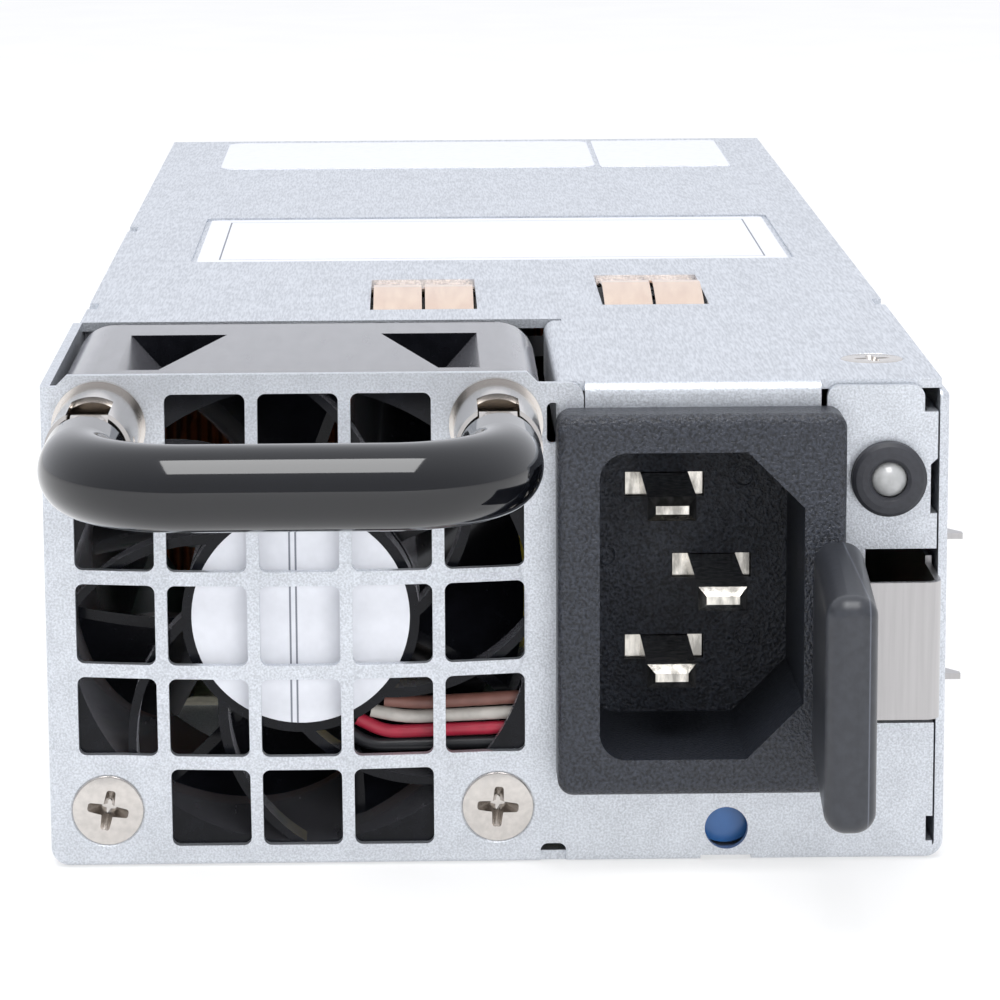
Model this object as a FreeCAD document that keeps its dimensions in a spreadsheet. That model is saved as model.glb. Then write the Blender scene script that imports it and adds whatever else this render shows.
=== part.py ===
"""Hot swap server power supply, as a FreeCAD 1.1 document of separate pieces.

+X is right seen from the front, -Y the front, +Z up.  The origin is the centre of
the case's bottom face.  Every size below is a cell of the spreadsheet "sizes".
"""
import FreeCAD, Part
import Sketcher
import math
import os

doc = FreeCAD.newDocument("hot_swap_power_supply")
sheet = doc.addObject("Spreadsheet::Sheet", "sizes")

# name, millimetres, what it measures
SIZES = [
    ("case_width", 73.5, "over the side walls"),
    ("case_height", 40, "bottom face to top of cover"),
    ("case_length", 185, "front plate to rear panel"),
    ("steel", 0.8, "gauge of the case sheet"),
    ("bend", 1.5, "outside radius of the tray's bends"),
    ("fit_gap", 0.05, "between parts that slide together"),
    ("sleeve_gap", 0.15, "between the wire and the sleeve over it"),
    ("seat_gap", 0.1, "between parts that are screwed or clipped together"),
    # fan
    ("fan_width", 39.8, "square of the fan's flanges"),
    ("fan_depth", 28, "front to back"),
    ("fan_flange", 4, "corner seat of the handle's screws behind the fan's front"),
    ("fan_pocket_front", 3.4, "front end of the housing's relief pockets"),
    ("fan_pocket_back", 22, "rear end of the relief pockets"),
    ("fan_pocket_outer", 14.8, "outer edge of the relief pockets from the fan's centre"),
    ("fan_hole_pitch", 32, "between mounting holes"),
    ("fan_hole", 4.3, "mounting hole diameter"),
    ("fan_bore", 38, "air bore diameter"),
    ("fan_corner", 3.2, "corner radius of the flanges"),
    ("motor_diameter", 19.4, "motor cup and rotor hub"),
    ("strut_count", 8, "stator vanes"),
    ("blade_count", 7, "rotor blades"),
    ("blade_tip_gap", 0.5, "blade tip to air bore"),
    ("shaft_diameter", 3, "rotor shaft"),
    ("bearing_diameter", 6, "outside of the ball bearings"),
    ("bearing_width", 2.5, "each ball bearing"),
    # grille
    ("dome_radius", 18.5, "edge circle of the pressed dome"),
    ("dome_rise", 1.8, "how far the dome stands forward"),
    ("grille_z", 20.5, "grille centre above the bottom"),
    ("hole_width", 6.5, "grille hole across"),
    ("hole_height", 6.6, "grille hole upwards"),
    ("hole_corner", 0.65, "corner radius of a grille hole"),
    ("column_pitch", 7.5, "grille holes across"),
    ("row_pitch", 7.75, "grille holes upwards"),
    # handle
    ("ferrule_diameter", 6.9, "outside of the handle sockets"),
    ("ferrule_length", 12, "forward of the plate"),
    ("ferrule_bore", 6, "inside of the sockets"),
    ("slot_width", 3.3, "fold slot on top of each socket"),
    ("slot_depth", 6, "fold slot back from the rim"),
    ("pivot_depth", 3, "hinge pin behind the rim"),
    ("tang_width", 3, "flattened leg end, across"),
    ("tang_height", 5, "flattened leg end, upwards"),
    ("pin_diameter", 1.6, "hinge pin"),
    ("handle_reach", 27, "bar centre forward of the plate"),
    ("sleeve_diameter", 6.6, "plastic sleeve"),
    ("wire_diameter", 4.8, "steel wire inside the sleeve"),
    ("handle_bend", 8.5, "bend radius at the sleeve's centre"),
    ("neck_length", 2.2, "bare tang between socket and sleeve"),
    # front plate
    ("plate_crest", 40.9, "top of the plate in front of the fan"),
    ("plate_tab", 40, "top of the plate's tab beside the grille"),
    ("lamp_tab", 39.6, "top of the plate's tab above the lamp"),
    ("plate_gap", 0.15, "slit between the plate and the right side wall"),
    ("screw_head", 5.9, "flat screw heads"),
    ("screw_shank", 3, "screw shanks"),
    ("screw_hole", 3.4, "clearance holes for the screws"),
    # mains inlet
    ("inlet_x", 16.45, "inlet centre"),
    ("inlet_z", 22.25, "inlet centre"),
    ("bezel_width", 23.3, "front flange across"),
    ("bezel_height", 31.4, "front flange upwards"),
    ("bezel_depth", 4, "forward of the plate"),
    ("bezel_corner", 1.3, "front flange corner radius"),
    ("body_width", 20.2, "inlet body across"),
    ("body_height", 27.2, "inlet body upwards"),
    ("body_depth", 18, "inlet body behind the plate"),
    ("recess_width", 16.5, "plug opening across"),
    ("recess_height", 25.3, "plug opening upwards"),
    ("recess_depth", 16.5, "plug opening depth"),
    ("recess_cut", 4.6, "cut corners of the plug opening"),
    ("recess_round", 2.2, "round corners of the plug opening"),
    ("pin_width", 4, "contact blade across"),
    ("pin_thick", 2, "contact blade upwards"),
    ("pin_spacing", 14, "line to neutral"),
    ("pin_offset", 2.1, "blades off the opening's centre line"),
    ("line_pin_length", 11.5, "line and neutral blades above the floor"),
    ("earth_pin_length", 14, "earth blade above the floor"),
    # lamp
    ("lamp_x", 31.8, "lamp centre"),
    ("lamp_z", 32, "lamp centre"),
    ("lamp_flange", 6.1, "lamp holder flange diameter"),
    ("lamp_lens", 2.9, "lamp lens diameter"),
    # latch
    ("latch_z", 18.8, "centre height of the latch"),
    ("latch_strip", 11.3, "height of the strip outside the case"),
    ("latch_inner", 12.6, "height of the strip inside the case"),
    ("latch_steel", 0.5, "gauge of the spring strip"),
    ("latch_forward", 5.6, "strip's outside face forward of the plate"),
    ("latch_root", 58, "rivet line behind the plate"),
    ("latch_gap", 0.3, "strip to side wall"),
    ("latch_window", 14.6, "height of the window it comes out of"),
    ("window_x", 30, "inboard edge of that window"),
    ("tooth_reach", 2.65, "teeth past the side wall"),
    ("tooth_depth", 11, "teeth behind the plate"),
    ("tooth_length", 4.4, "teeth along the case"),
    ("grip_width", 4, "plastic grip across"),
    ("grip_height", 18.5, "plastic grip upwards"),
    ("grip_length", 21.5, "plastic grip forwards"),
    ("grip_x", 27.2, "grip centre at its rear end"),
    ("grip_lean", 1.1, "how far the grip leans inboard"),
    # cover
    ("cutout_back", 6, "cover's edge behind the fan"),
    ("cutout_side", 1, "cover's folded edge beside the fan"),
    ("cover_inset", 0.6, "cover's sides inboard of the side walls"),
    ("cover_flange", 7, "side flanges of the cover"),
    ("flange_left", 7.2, "front flange from"),
    ("flange_right", 26.3, "front flange to"),
    ("flange_bottom", 37.2, "front flange lower edge"),
    ("finger_width", 4.4, "each grounding finger"),
    ("finger_length", 18.5, "arch of a grounding finger"),
    ("finger_rise", 0.9, "arch above the cover"),
    ("label_recess", 0.25, "depth of the pressed label field"),
    ("label_thick", 0.1, "labels"),
    ("label_width", 58.2, "main label across the case"),
    ("label_length", 33.4, "main label along the case"),
    # boards
    ("board_z", 5, "underside of the main board"),
    ("board_thick", 1.6, "printed boards"),
    ("board_width", 69, "main board"),
    ("board_front", 52, "wide part of the board behind the plate"),
    ("tongue_width", 50.5, "edge connector tongue"),
    ("tongue_reach", 11, "tongue past the rear panel"),
    ("contact_pitch", 1.9, "edge contacts"),
    ("contact_count", 25, "edge contacts on each face"),
]


class Size:
    """A number that remembers the spreadsheet expression it was worked out from."""

    def __init__(self, value, text):
        self.value = float(value)
        self.text = text

    def __float__(self):
        return self.value

    def __add__(self, other):
        other = size(other)
        return Size(self.value + other.value, "(%s + %s)" % (self.text, other.text))

    def __sub__(self, other):
        other = size(other)
        return Size(self.value - other.value, "(%s - %s)" % (self.text, other.text))

    def __mul__(self, other):
        other = size(other)
        return Size(self.value * other.value, "(%s * %s)" % (self.text, other.text))

    def __truediv__(self, other):
        other = size(other)
        return Size(self.value / other.value, "(%s / %s)" % (self.text, other.text))

    def __neg__(self):
        return size(0) - self

    __radd__ = __add__

    def __rsub__(self, other):
        return size(other) - self

    def __rmul__(self, other):
        return self * other


def size(number):
    """Any number as a Size."""
    if isinstance(number, Size):
        return number
    return Size(number, "%.6g" % number if number >= 0 else "(%.6g)" % number)


class Sizes:
    """The spreadsheet's cells, one Size each."""


def fill_sheet():
    """Writes the sizes into the sheet and gives them back by name."""
    cells = Sizes()
    for row, (name, value, note) in enumerate(SIZES, start=1):
        sheet.set("A%d" % row, name)
        sheet.set("B%d" % row, str(value))
        sheet.set("C%d" % row, note)
        sheet.setAlias("B%d" % row, name)
        setattr(cells, name, Size(value, "sizes." + name))
    doc.recompute()
    return cells


p = fill_sheet()

FRONT = -p.case_length / 2
REAR = p.case_length / 2
RIGHT = p.case_width / 2
LEFT = -p.case_width / 2
INNER_RIGHT = RIGHT - p.steel
INNER_LEFT = LEFT + p.steel
TOP = p.case_height
UNDER_COVER = TOP - p.steel
PLATE_BACK = FRONT + p.steel
BOARD_TOP = p.board_z + p.board_thick


# ---------------------------------------------------------------- tools

def bind(thing, path, amount):
    """Binds one property of an object to the spreadsheet."""
    thing.setExpression(path, size(amount).text)


def place(thing, x=0, y=0, z=0):
    bind(thing, "Placement.Base.x", x)
    bind(thing, "Placement.Base.y", y)
    bind(thing, "Placement.Base.z", z)
    return thing


def vector(x, y, z):
    return FreeCAD.Vector(float(x), float(y), float(z))


def turned(axis, degrees):
    return FreeCAD.Rotation(FreeCAD.Vector(*axis), degrees)


ALONG = {"x": turned((0, 1, 0), 90), "y": turned((1, 0, 0), -90), "z": turned((0, 0, 1), 0)}


def block(name, x, y, z, dx, dy, dz):
    """A box by its lowest corner and its three lengths."""
    box = doc.addObject("Part::Box", name)
    bind(box, "Length", dx)
    bind(box, "Width", dy)
    bind(box, "Height", dz)
    return place(box, x, y, z)


def rod(name, axis, x, y, z, radius, length):
    """A cylinder that starts at a point and runs along +axis."""
    cylinder = doc.addObject("Part::Cylinder", name)
    bind(cylinder, "Radius", radius)
    bind(cylinder, "Height", length)
    cylinder.Placement.Rotation = ALONG[axis]
    return place(cylinder, x, y, z)


def taper(name, axis, x, y, z, radius1, radius2, length):
    """A cone that starts at a point and runs along +axis."""
    cone = doc.addObject("Part::Cone", name)
    bind(cone, "Radius1", radius1)
    bind(cone, "Radius2", radius2)
    bind(cone, "Height", length)
    cone.Placement.Rotation = ALONG[axis]
    return place(cone, x, y, z)


def ring(name, axis, x, y, z, radius, tube):
    """A torus round an axis."""
    torus = doc.addObject("Part::Torus", name)
    bind(torus, "Radius1", radius)
    bind(torus, "Radius2", tube)
    torus.Placement.Rotation = ALONG[axis]
    return place(torus, x, y, z)


def fused(name, pieces):
    union = doc.addObject("Part::MultiFuse", name)
    union.Shapes = pieces
    union.Refine = True
    return union


def cut(name, base, tools):
    """base less one tool or several."""
    tool = tools[0] if len(tools) == 1 else fused(name + "_tool", tools)
    difference = doc.addObject("Part::Cut", name)
    difference.Base = base
    difference.Tool = tool
    return difference


def group(name, pieces):
    """Like pieces that lie apart, kept as one node of separate solids."""
    bundle = doc.addObject("Part::Compound", name)
    bundle.Links = pieces
    return bundle


def feature(name, shape):
    """A piece whose shape is worked out with Part's own functions."""
    thing = doc.addObject("Part::Feature", name)
    thing.Shape = shape
    return thing


# Sketch outlines: each gives a function that draws itself into a sketch.

def at_point(sketch, item, end, u, v):
    """Ties one point of the sketch to expressions."""
    number = sketch.addConstraint(Sketcher.Constraint("DistanceX", -1, 1, item, end, float(u)))
    bind(sketch, "Constraints[%d]" % number, u)
    number = sketch.addConstraint(Sketcher.Constraint("DistanceY", -1, 1, item, end, float(v)))
    bind(sketch, "Constraints[%d]" % number, v)


def polygon(*corners):
    corners = [(size(u), size(v)) for u, v in corners]

    def draw(sketch):
        first = sketch.GeometryCount
        count = len(corners)
        for number, (u, v) in enumerate(corners):
            u2, v2 = corners[(number + 1) % count]
            sketch.addGeometry(Part.LineSegment(vector(u, v, 0), vector(u2, v2, 0)), False)
        for number in range(count):
            after = first + (number + 1) % count
            sketch.addConstraint(Sketcher.Constraint("Coincident", first + number, 2, after, 1))
        for number, (u, v) in enumerate(corners):
            at_point(sketch, first + number, 1, u, v)
    return draw


def rectangle(u1, v1, u2, v2):
    return polygon((u1, v1), (u2, v1), (u2, v2), (u1, v2))


def disc(u, v, radius):
    u, v, radius = size(u), size(v), size(radius)

    def draw(sketch):
        item = sketch.addGeometry(
            Part.Circle(vector(u, v, 0), FreeCAD.Vector(0, 0, 1), float(radius)), False)
        number = sketch.addConstraint(Sketcher.Constraint("Radius", item, float(radius)))
        bind(sketch, "Constraints[%d]" % number, radius)
        at_point(sketch, item, 3, u, v)
    return draw


def rounded(u, v, width, height, corner):
    """A rectangle round a centre with four equal round corners."""
    u, v, width, height, corner = size(u), size(v), size(width), size(height), size(corner)

    def draw(sketch):
        first = sketch.GeometryCount
        half_u, half_v, r = float(width) / 2, float(height) / 2, float(corner)
        quarters = [(1, -1, 270), (1, 1, 0), (-1, 1, 90), (-1, -1, 180)]
        ends = [((-1, -1), (1, -1)), ((1, -1), (1, 1)), ((1, 1), (-1, 1)), ((-1, 1), (-1, -1))]
        for (a, b), (c, d) in ends:
            step_u, step_v = (c - a) / 2 * r, (d - b) / 2 * r
            sketch.addGeometry(Part.LineSegment(
                vector(float(u) + a * half_u + step_u, float(v) + b * half_v + step_v, 0),
                vector(float(u) + c * half_u - step_u, float(v) + d * half_v - step_v, 0)), False)
        for a, b, start in quarters:
            centre = vector(float(u) + a * (half_u - r), float(v) + b * (half_v - r), 0)
            circle = Part.Circle(centre, FreeCAD.Vector(0, 0, 1), r)
            sketch.addGeometry(Part.ArcOfCircle(
                circle, math.radians(start), math.radians(start + 90)), False)
        rules = []
        for side in range(4):
            arc = first + 4 + side
            rules.append(Sketcher.Constraint("Tangent", first + side, 2, arc, 1))
            rules.append(Sketcher.Constraint("Tangent", arc, 2, first + (side + 1) % 4, 1))
        rules += [Sketcher.Constraint("Horizontal", first), Sketcher.Constraint("Vertical", first + 1),
                  Sketcher.Constraint("Horizontal", first + 2),
                  Sketcher.Constraint("Vertical", first + 3)]
        rules += [Sketcher.Constraint("Equal", first + 4, first + side) for side in (5, 6, 7)]
        sketch.addConstraint(rules)
        number = sketch.addConstraint(Sketcher.Constraint("Radius", first + 4, r))
        bind(sketch, "Constraints[%d]" % number, corner)
        at_point(sketch, first + 4, 3, u + width / 2 - corner, v - height / 2 + corner)
        at_point(sketch, first + 6, 3, u - width / 2 + corner, v + height / 2 - corner)
    return draw


class Body:
    """A PartDesign body, built by features in its own sketches."""

    def __init__(self, name):
        self.name = name
        self.body = doc.addObject("PartDesign::Body", name)

    def sketch(self, plane, offset, outlines, origin=(0, 0)):
        """A sketch parallel to one origin plane; offset is along +X, +Y or +Z."""
        drawing = self.body.newObject("Sketcher::SketchObject", self.name + "_sketch")
        role = plane + "_Plane"
        support = [item for item in self.body.Origin.OriginFeatures if item.Role == role][0]
        drawing.AttachmentSupport = [(support, "")]
        drawing.MapMode = "FlatFace"
        # the XZ plane's own normal points to -Y
        bind(drawing, "AttachmentOffset.Base.z", -size(offset) if plane == "XZ" else offset)
        bind(drawing, "AttachmentOffset.Base.x", origin[0])
        bind(drawing, "AttachmentOffset.Base.y", origin[1])
        doc.recompute()
        for outline in outlines:
            outline(drawing)
        return drawing

    def pad(self, plane, start, end, *outlines):
        """Adds material from start to end, both along the plane's +axis."""
        feature = self.body.newObject("PartDesign::Pad", self.name + "_pad")
        feature.Profile = self.sketch(plane, start, outlines)
        bind(feature, "Length", size(end) - start)
        feature.Reversed = plane == "XZ"
        doc.recompute()
        return feature

    def pocket(self, plane, start, end, *outlines):
        """Cuts from start to end, both along the plane's +axis."""
        before = self.body.Shape.Volume
        feature = self.body.newObject("PartDesign::Pocket", self.name + "_pocket")
        feature.Profile = self.sketch(plane, start, outlines)
        bind(feature, "Length", size(end) - start)
        feature.Reversed = plane != "XZ"
        doc.recompute()
        if self.body.Shape.Volume >= before:
            raise ValueError("a pocket of %s cuts nothing" % self.name)
        return feature

    def spin(self, kind, x, z, *outlines):
        """Revolves a profile of (y, radius) round the line along Y through x, z."""
        feature = self.body.newObject("PartDesign::" + kind, self.name + "_" + kind.lower())
        drawing = self.sketch("YZ", x, outlines, origin=(0, z))
        feature.Profile = drawing
        feature.ReferenceAxis = (drawing, ["H_Axis"])
        feature.Angle = 360
        doc.recompute()
        return feature

    def repeat(self, original, direction, pitch, count):
        """A row of copies of one feature along its own sketch's H_Axis or V_Axis."""
        row = self.body.newObject("PartDesign::LinearPattern", self.name + "_row")
        row.Originals = [original]
        row.Direction = (original.Profile[0], [direction])
        row.Occurrences = count
        bind(row, "Length", pitch * (count - 1))
        self.body.Tip = row
        doc.recompute()
        return row

    def dress(self, kind, amount, chosen):
        """Fillets or chamfers the edges of the tip for which chosen(edge) is true."""
        tip = self.body.Tip
        names = ["Edge%d" % number for number, edge in enumerate(tip.Shape.Edges, start=1)
                 if chosen(edge)]
        if not names:
            raise ValueError("no edge to dress on %s" % self.name)
        feature = self.body.newObject("PartDesign::" + kind, self.name + "_" + kind.lower())
        feature.Base = (tip, names)
        bind(feature, "Radius" if kind == "Fillet" else "Size", amount)
        doc.recompute()
        return feature


def runs_along(axis, **where):
    """Chooses straight edges along one axis, at given values of the other two."""
    def chosen(edge):
        if len(edge.Vertexes) != 2 or edge.Curve.TypeId != "Part::GeomLine":
            return False
        first, last = edge.Vertexes[0].Point, edge.Vertexes[1].Point
        across = (last - first).normalize()
        if abs(getattr(across, axis)) < 0.999:
            return False
        middle = (first + last) / 2
        return all(any(abs(getattr(middle, name) - float(value)) < 0.01 for value in values)
                   for name, values in where.items())
    return chosen


def lies_at(axis, value):
    """Chooses every edge that lies wholly in one plane across an axis."""
    def chosen(edge):
        box = edge.BoundBox
        low, high = getattr(box, axis.upper() + "Min"), getattr(box, axis.upper() + "Max")
        return abs(low - float(value)) < 0.01 and abs(high - float(value)) < 0.01
    return chosen


def circles_at(axis, value, **near):
    """Chooses round edges in one plane across an axis, within a head's width of a point."""
    in_plane = lies_at(axis, value)

    def chosen(edge):
        if not in_plane(edge) or edge.Curve.TypeId != "Part::GeomCircle":
            return False
        centre = edge.Curve.Center
        return all(abs(getattr(centre, name) - float(place)) < float(p.screw_head)
                   for name, place in near.items())
    return chosen


NODES = []


def node(thing, name=None):
    """Marks a finished object as one of the kept sub-parts."""
    thing = thing.body if isinstance(thing, Body) else thing
    thing.Label = name or thing.Name
    NODES.append(thing)
    return thing


# ---------------------------------------------------------------- case

FAN_X = INNER_LEFT + p.fit_gap + p.fan_width / 2
HOLE_LEFT = FAN_X - p.fan_hole_pitch / 2
HOLE_RIGHT = FAN_X + p.fan_hole_pitch / 2
FAN_BOTTOM = p.steel + p.fit_gap
FAN_Z = FAN_BOTTOM + p.fan_width / 2
HOLE_LOW = FAN_Z - p.fan_hole_pitch / 2
HOLE_HIGH = FAN_Z + p.fan_hole_pitch / 2
PLATE_RIGHT = INNER_RIGHT - p.plate_gap
CUTOUT_DEPTH = p.steel + p.fan_depth + p.cutout_back
CUTOUT_X = FAN_X + p.fan_width / 2 + p.cutout_side
SHELF_TOP = UNDER_COVER - p.fit_gap
FLUSH_HEAD = p.screw_head / 2 - 0.35
FLUSH_HOLE = FLUSH_HEAD + p.seat_gap - p.steel
SIDE_SCREW_Y = REAR - 14
SIDE_SCREW_Z = UNDER_COVER - p.cover_flange / 2 - 0.6
TOP_SCREW_X = size(31.6)
TOP_SCREW_Y = FRONT + 11.3
FINGER_PAIR = p.finger_width * 2 + 0.3
FINGER_GAUGE = size(0.25)
FINGER_FOOT = UNDER_COVER - FINGER_GAUGE - 0.02
FINGER_PLACES = ((size(-5.7), FRONT + 50.9), (size(15.4), FRONT + 52.9))
SIGHT_X = p.inlet_x + 2.35
LABEL_X = size(1.2)
LABEL_Y = FRONT + 91.3
RIVET_SHANK = size(2.4)
RIVET_HEIGHTS = (p.latch_z - 3.6, p.latch_z + 3.6)
LATCH_ROOT_Y = FRONT + p.latch_root


def dome(apex, edge, radius, back):
    """Half section of a pressed dome: an arc from the axis to its rim, closed at the back."""
    apex, edge, radius, back = size(apex), size(edge), size(radius), size(back)

    def draw(sketch):
        first = sketch.GeometryCount
        rise = abs(float(edge) - float(apex))
        ball = (float(radius) ** 2 + rise ** 2) / (2 * rise)
        centre = FreeCAD.Vector(float(apex) + ball, 0, 0)
        half = math.asin(float(radius) / ball)
        circle = Part.Circle(centre, FreeCAD.Vector(0, 0, 1), ball)
        sketch.addGeometry(Part.ArcOfCircle(circle, math.pi - half, math.pi), False)
        sketch.addGeometry(Part.LineSegment(vector(edge, radius, 0), vector(back, radius, 0)), False)
        sketch.addGeometry(Part.LineSegment(vector(back, radius, 0), vector(back, 0, 0)), False)
        sketch.addGeometry(Part.LineSegment(vector(back, 0, 0), vector(apex, 0, 0)), False)
        sketch.addConstraint([
            Sketcher.Constraint("Coincident", first, 1, first + 1, 1),
            Sketcher.Constraint("Coincident", first + 1, 2, first + 2, 1),
            Sketcher.Constraint("Coincident", first + 2, 2, first + 3, 1),
            Sketcher.Constraint("Coincident", first + 3, 2, first, 2),
            Sketcher.Constraint("PointOnObject", first, 3, -1)])
        at_point(sketch, first, 2, apex, 0)
        at_point(sketch, first, 1, edge, radius)
        at_point(sketch, first + 2, 1, back, radius)
        at_point(sketch, first + 2, 2, back, 0)
    return draw


def channel_profile(left, right, bottom, wall_top, sheet_thick):
    """Bottom and two side walls of one gauge."""
    return polygon((left, bottom), (right, bottom), (right, wall_top),
                   (right - sheet_thick, wall_top), (right - sheet_thick, bottom + sheet_thick),
                   (left + sheet_thick, bottom + sheet_thick), (left + sheet_thick, wall_top),
                   (left, wall_top))


def chassis_tray():
    """Bottom, side walls and the front plate with its pressed grille, bent from one sheet."""
    tray = Body("chassis_tray")
    wall_top = UNDER_COVER - p.fit_gap
    tray.pad("XZ", FRONT, REAR, channel_profile(LEFT, RIGHT, 0, wall_top, p.steel))
    tray.dress("Fillet", p.bend, runs_along("y", x=(LEFT, RIGHT), z=(0,)))
    tray.dress("Fillet", p.bend - p.steel,
               runs_along("y", x=(INNER_LEFT, INNER_RIGHT), z=(p.steel,)))
    tray.dress("Fillet", 0.6, runs_along("y", x=(LEFT, RIGHT), z=(wall_top,)))

    # the left wall is full height beside the fan, where there is no cover
    tray.pad("XZ", FRONT, FRONT + CUTOUT_DEPTH - p.seat_gap,
             rectangle(LEFT, wall_top - 1, INNER_LEFT, TOP))
    notch_left = p.flange_left - p.seat_gap
    notch_right = p.flange_right + 0.5
    notch_floor = p.flange_bottom - p.seat_gap
    step = p.plate_crest - TOP
    shoulder = p.lamp_tab - 2.2
    tab_right = PLATE_RIGHT - 1.1
    tray.pad("XZ", FRONT, PLATE_BACK, polygon(
        (INNER_LEFT, p.steel / 2), (PLATE_RIGHT, p.steel / 2), (PLATE_RIGHT, shoulder),
        (tab_right, shoulder), (tab_right, p.lamp_tab),
        (notch_right, p.lamp_tab), (notch_right, notch_floor), (notch_left, notch_floor),
        (notch_left, p.plate_tab), (CUTOUT_X - 1.5, p.plate_tab),
        (CUTOUT_X - 1.5 - step, p.plate_crest), (INNER_LEFT + 1.4, p.plate_crest),
        (INNER_LEFT + 1.4 - step, TOP), (INNER_LEFT, TOP)))
    tray.dress("Fillet", 1.2, runs_along("y", x=(notch_left,), z=(p.plate_tab,)))
    tray.dress("Fillet", 1, runs_along("y", x=(notch_right, tab_right), z=(p.lamp_tab,)))
    tray.dress("Fillet", 0.7, runs_along("z", x=(LEFT,), y=(FRONT,)))

    # the plate's right edge is folded back beside the side wall
    tray.pad("XZ", FRONT, FRONT + 9,
             rectangle(PLATE_RIGHT - p.steel, p.steel, PLATE_RIGHT, shoulder))
    # a shelf under the cover for its front screw
    tray.pad("XZ", FRONT + p.steel / 2, FRONT + 16,
             rectangle(notch_right + 1, SHELF_TOP - p.steel, tab_right - 1, SHELF_TOP))
    tray.pocket("XY", SHELF_TOP - p.steel, SHELF_TOP,
                disc(TOP_SCREW_X, TOP_SCREW_Y, p.screw_shank / 2 - 0.15))

    # pressed dome in front of the fan
    tray.spin("Revolution", FAN_X, p.grille_z,
              dome(FRONT - p.dome_rise, FRONT, p.dome_radius, FRONT + p.steel / 2))
    tray.spin("Groove", FAN_X, p.grille_z,
              dome(PLATE_BACK - p.dome_rise, PLATE_BACK, p.dome_radius, PLATE_BACK + 0.5))
    start, end = FRONT - p.dome_rise - 0.5, PLATE_BACK
    for column, rows, count in ((1, 5, 3), (2, 3, 2)):
        holes = [rounded(FAN_X - p.column_pitch * column,
                         p.grille_z + p.row_pitch * (row - (rows - 1) / 2),
                         p.hole_width, p.hole_height, p.hole_corner) for row in range(rows)]
        cutter = tray.pocket("XZ", start, end, *holes)
        tray.repeat(cutter, "H_Axis", p.column_pitch * 2 * column / (count - 1), count)

    # fixings of the fan and handle, the lamp, the inlet and the slot beside it
    for x in (HOLE_LEFT, HOLE_RIGHT):
        tray.spin("Groove", x, HOLE_LOW, polygon(
            (FRONT, 0), (FRONT, p.screw_head / 2 + 0.1),
            (PLATE_BACK, p.screw_head / 2 + 0.1 - p.steel), (PLATE_BACK, 0)))
    tray.pocket("XZ", FRONT, PLATE_BACK,
                disc(HOLE_LEFT, HOLE_HIGH, p.screw_hole / 2),
                disc(HOLE_RIGHT, HOLE_HIGH, p.screw_hole / 2),
                disc(p.lamp_x, p.lamp_z, p.lamp_flange / 2 - 0.4),
                disc(SIGHT_X, 2.75, 1.78),
                rectangle(p.inlet_x - p.body_width / 2 - p.seat_gap,
                          p.inlet_z - p.body_height / 2 - p.seat_gap,
                          p.inlet_x + p.body_width / 2 + p.seat_gap,
                          p.inlet_z + p.body_height / 2 + p.seat_gap))
    tray.pocket("XZ", FRONT, PLATE_BACK, rounded(CUTOUT_X - 0.3, TOP - 3.3, 1, 3.4, 0.48))
    # window of the latch, open to the right wall, through plate and fold
    tray.pocket("XZ", FRONT, FRONT + 9.5, rectangle(
        p.window_x, p.latch_z - p.latch_window / 2,
        INNER_RIGHT - p.plate_gap / 2, p.latch_z + p.latch_window / 2))
    for side in (-1, 1):
        edge = p.latch_z + p.latch_inner / 2 * side
        low = edge - p.latch_steel * (side + 1) / 2 - 0.35
        tray.pocket("YZ", INNER_RIGHT - p.seat_gap / 2, RIGHT, rectangle(
            FRONT + p.tooth_depth - 0.6, low,
            FRONT + p.tooth_depth + p.tooth_length + 0.9, low + p.latch_steel + 0.7))
    tray.pocket("YZ", INNER_RIGHT, RIGHT, *[
        disc(FRONT + p.latch_root, z, RIVET_SHANK / 2) for z in RIVET_HEIGHTS])
    # slots in the folded edge, above the window and at its foot
    slot_left = PLATE_RIGHT - 0.55
    tray.pocket("XZ", FRONT, FRONT + 9.5, polygon(
        (PLATE_RIGHT + 0.05, shoulder - 8.4), (PLATE_RIGHT + 0.05, shoulder - 3.8),
        (slot_left, shoulder - 4.35), (slot_left, shoulder - 8.4)))
    tray.pocket("XZ", FRONT, FRONT + 9.5,
                rectangle(slot_left, p.bend, PLATE_RIGHT + 0.05, p.bend + 2.1))
    # locating notches at the plate's foot
    tray.pocket("XZ", FRONT, PLATE_BACK, rounded(CUTOUT_X - 0.35, 0, 2.1, 3.2, 0.6))
    tray.pocket("XZ", FRONT, FRONT + 3, rectangle(p.inlet_x + 0.25, 0, p.inlet_x + 4.45, 0.45))
    # side screws of the cover, countersunk
    for start, end, outside in ((LEFT, INNER_LEFT, LEFT), (INNER_RIGHT, RIGHT, RIGHT)):
        tray.pocket("YZ", start, end, disc(SIDE_SCREW_Y, SIDE_SCREW_Z, FLUSH_HOLE + 0.05))
        tray.dress("Chamfer", p.steel - 0.05,
                   circles_at("x", outside, y=SIDE_SCREW_Y, z=SIDE_SCREW_Z))
    return node(tray)


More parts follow.
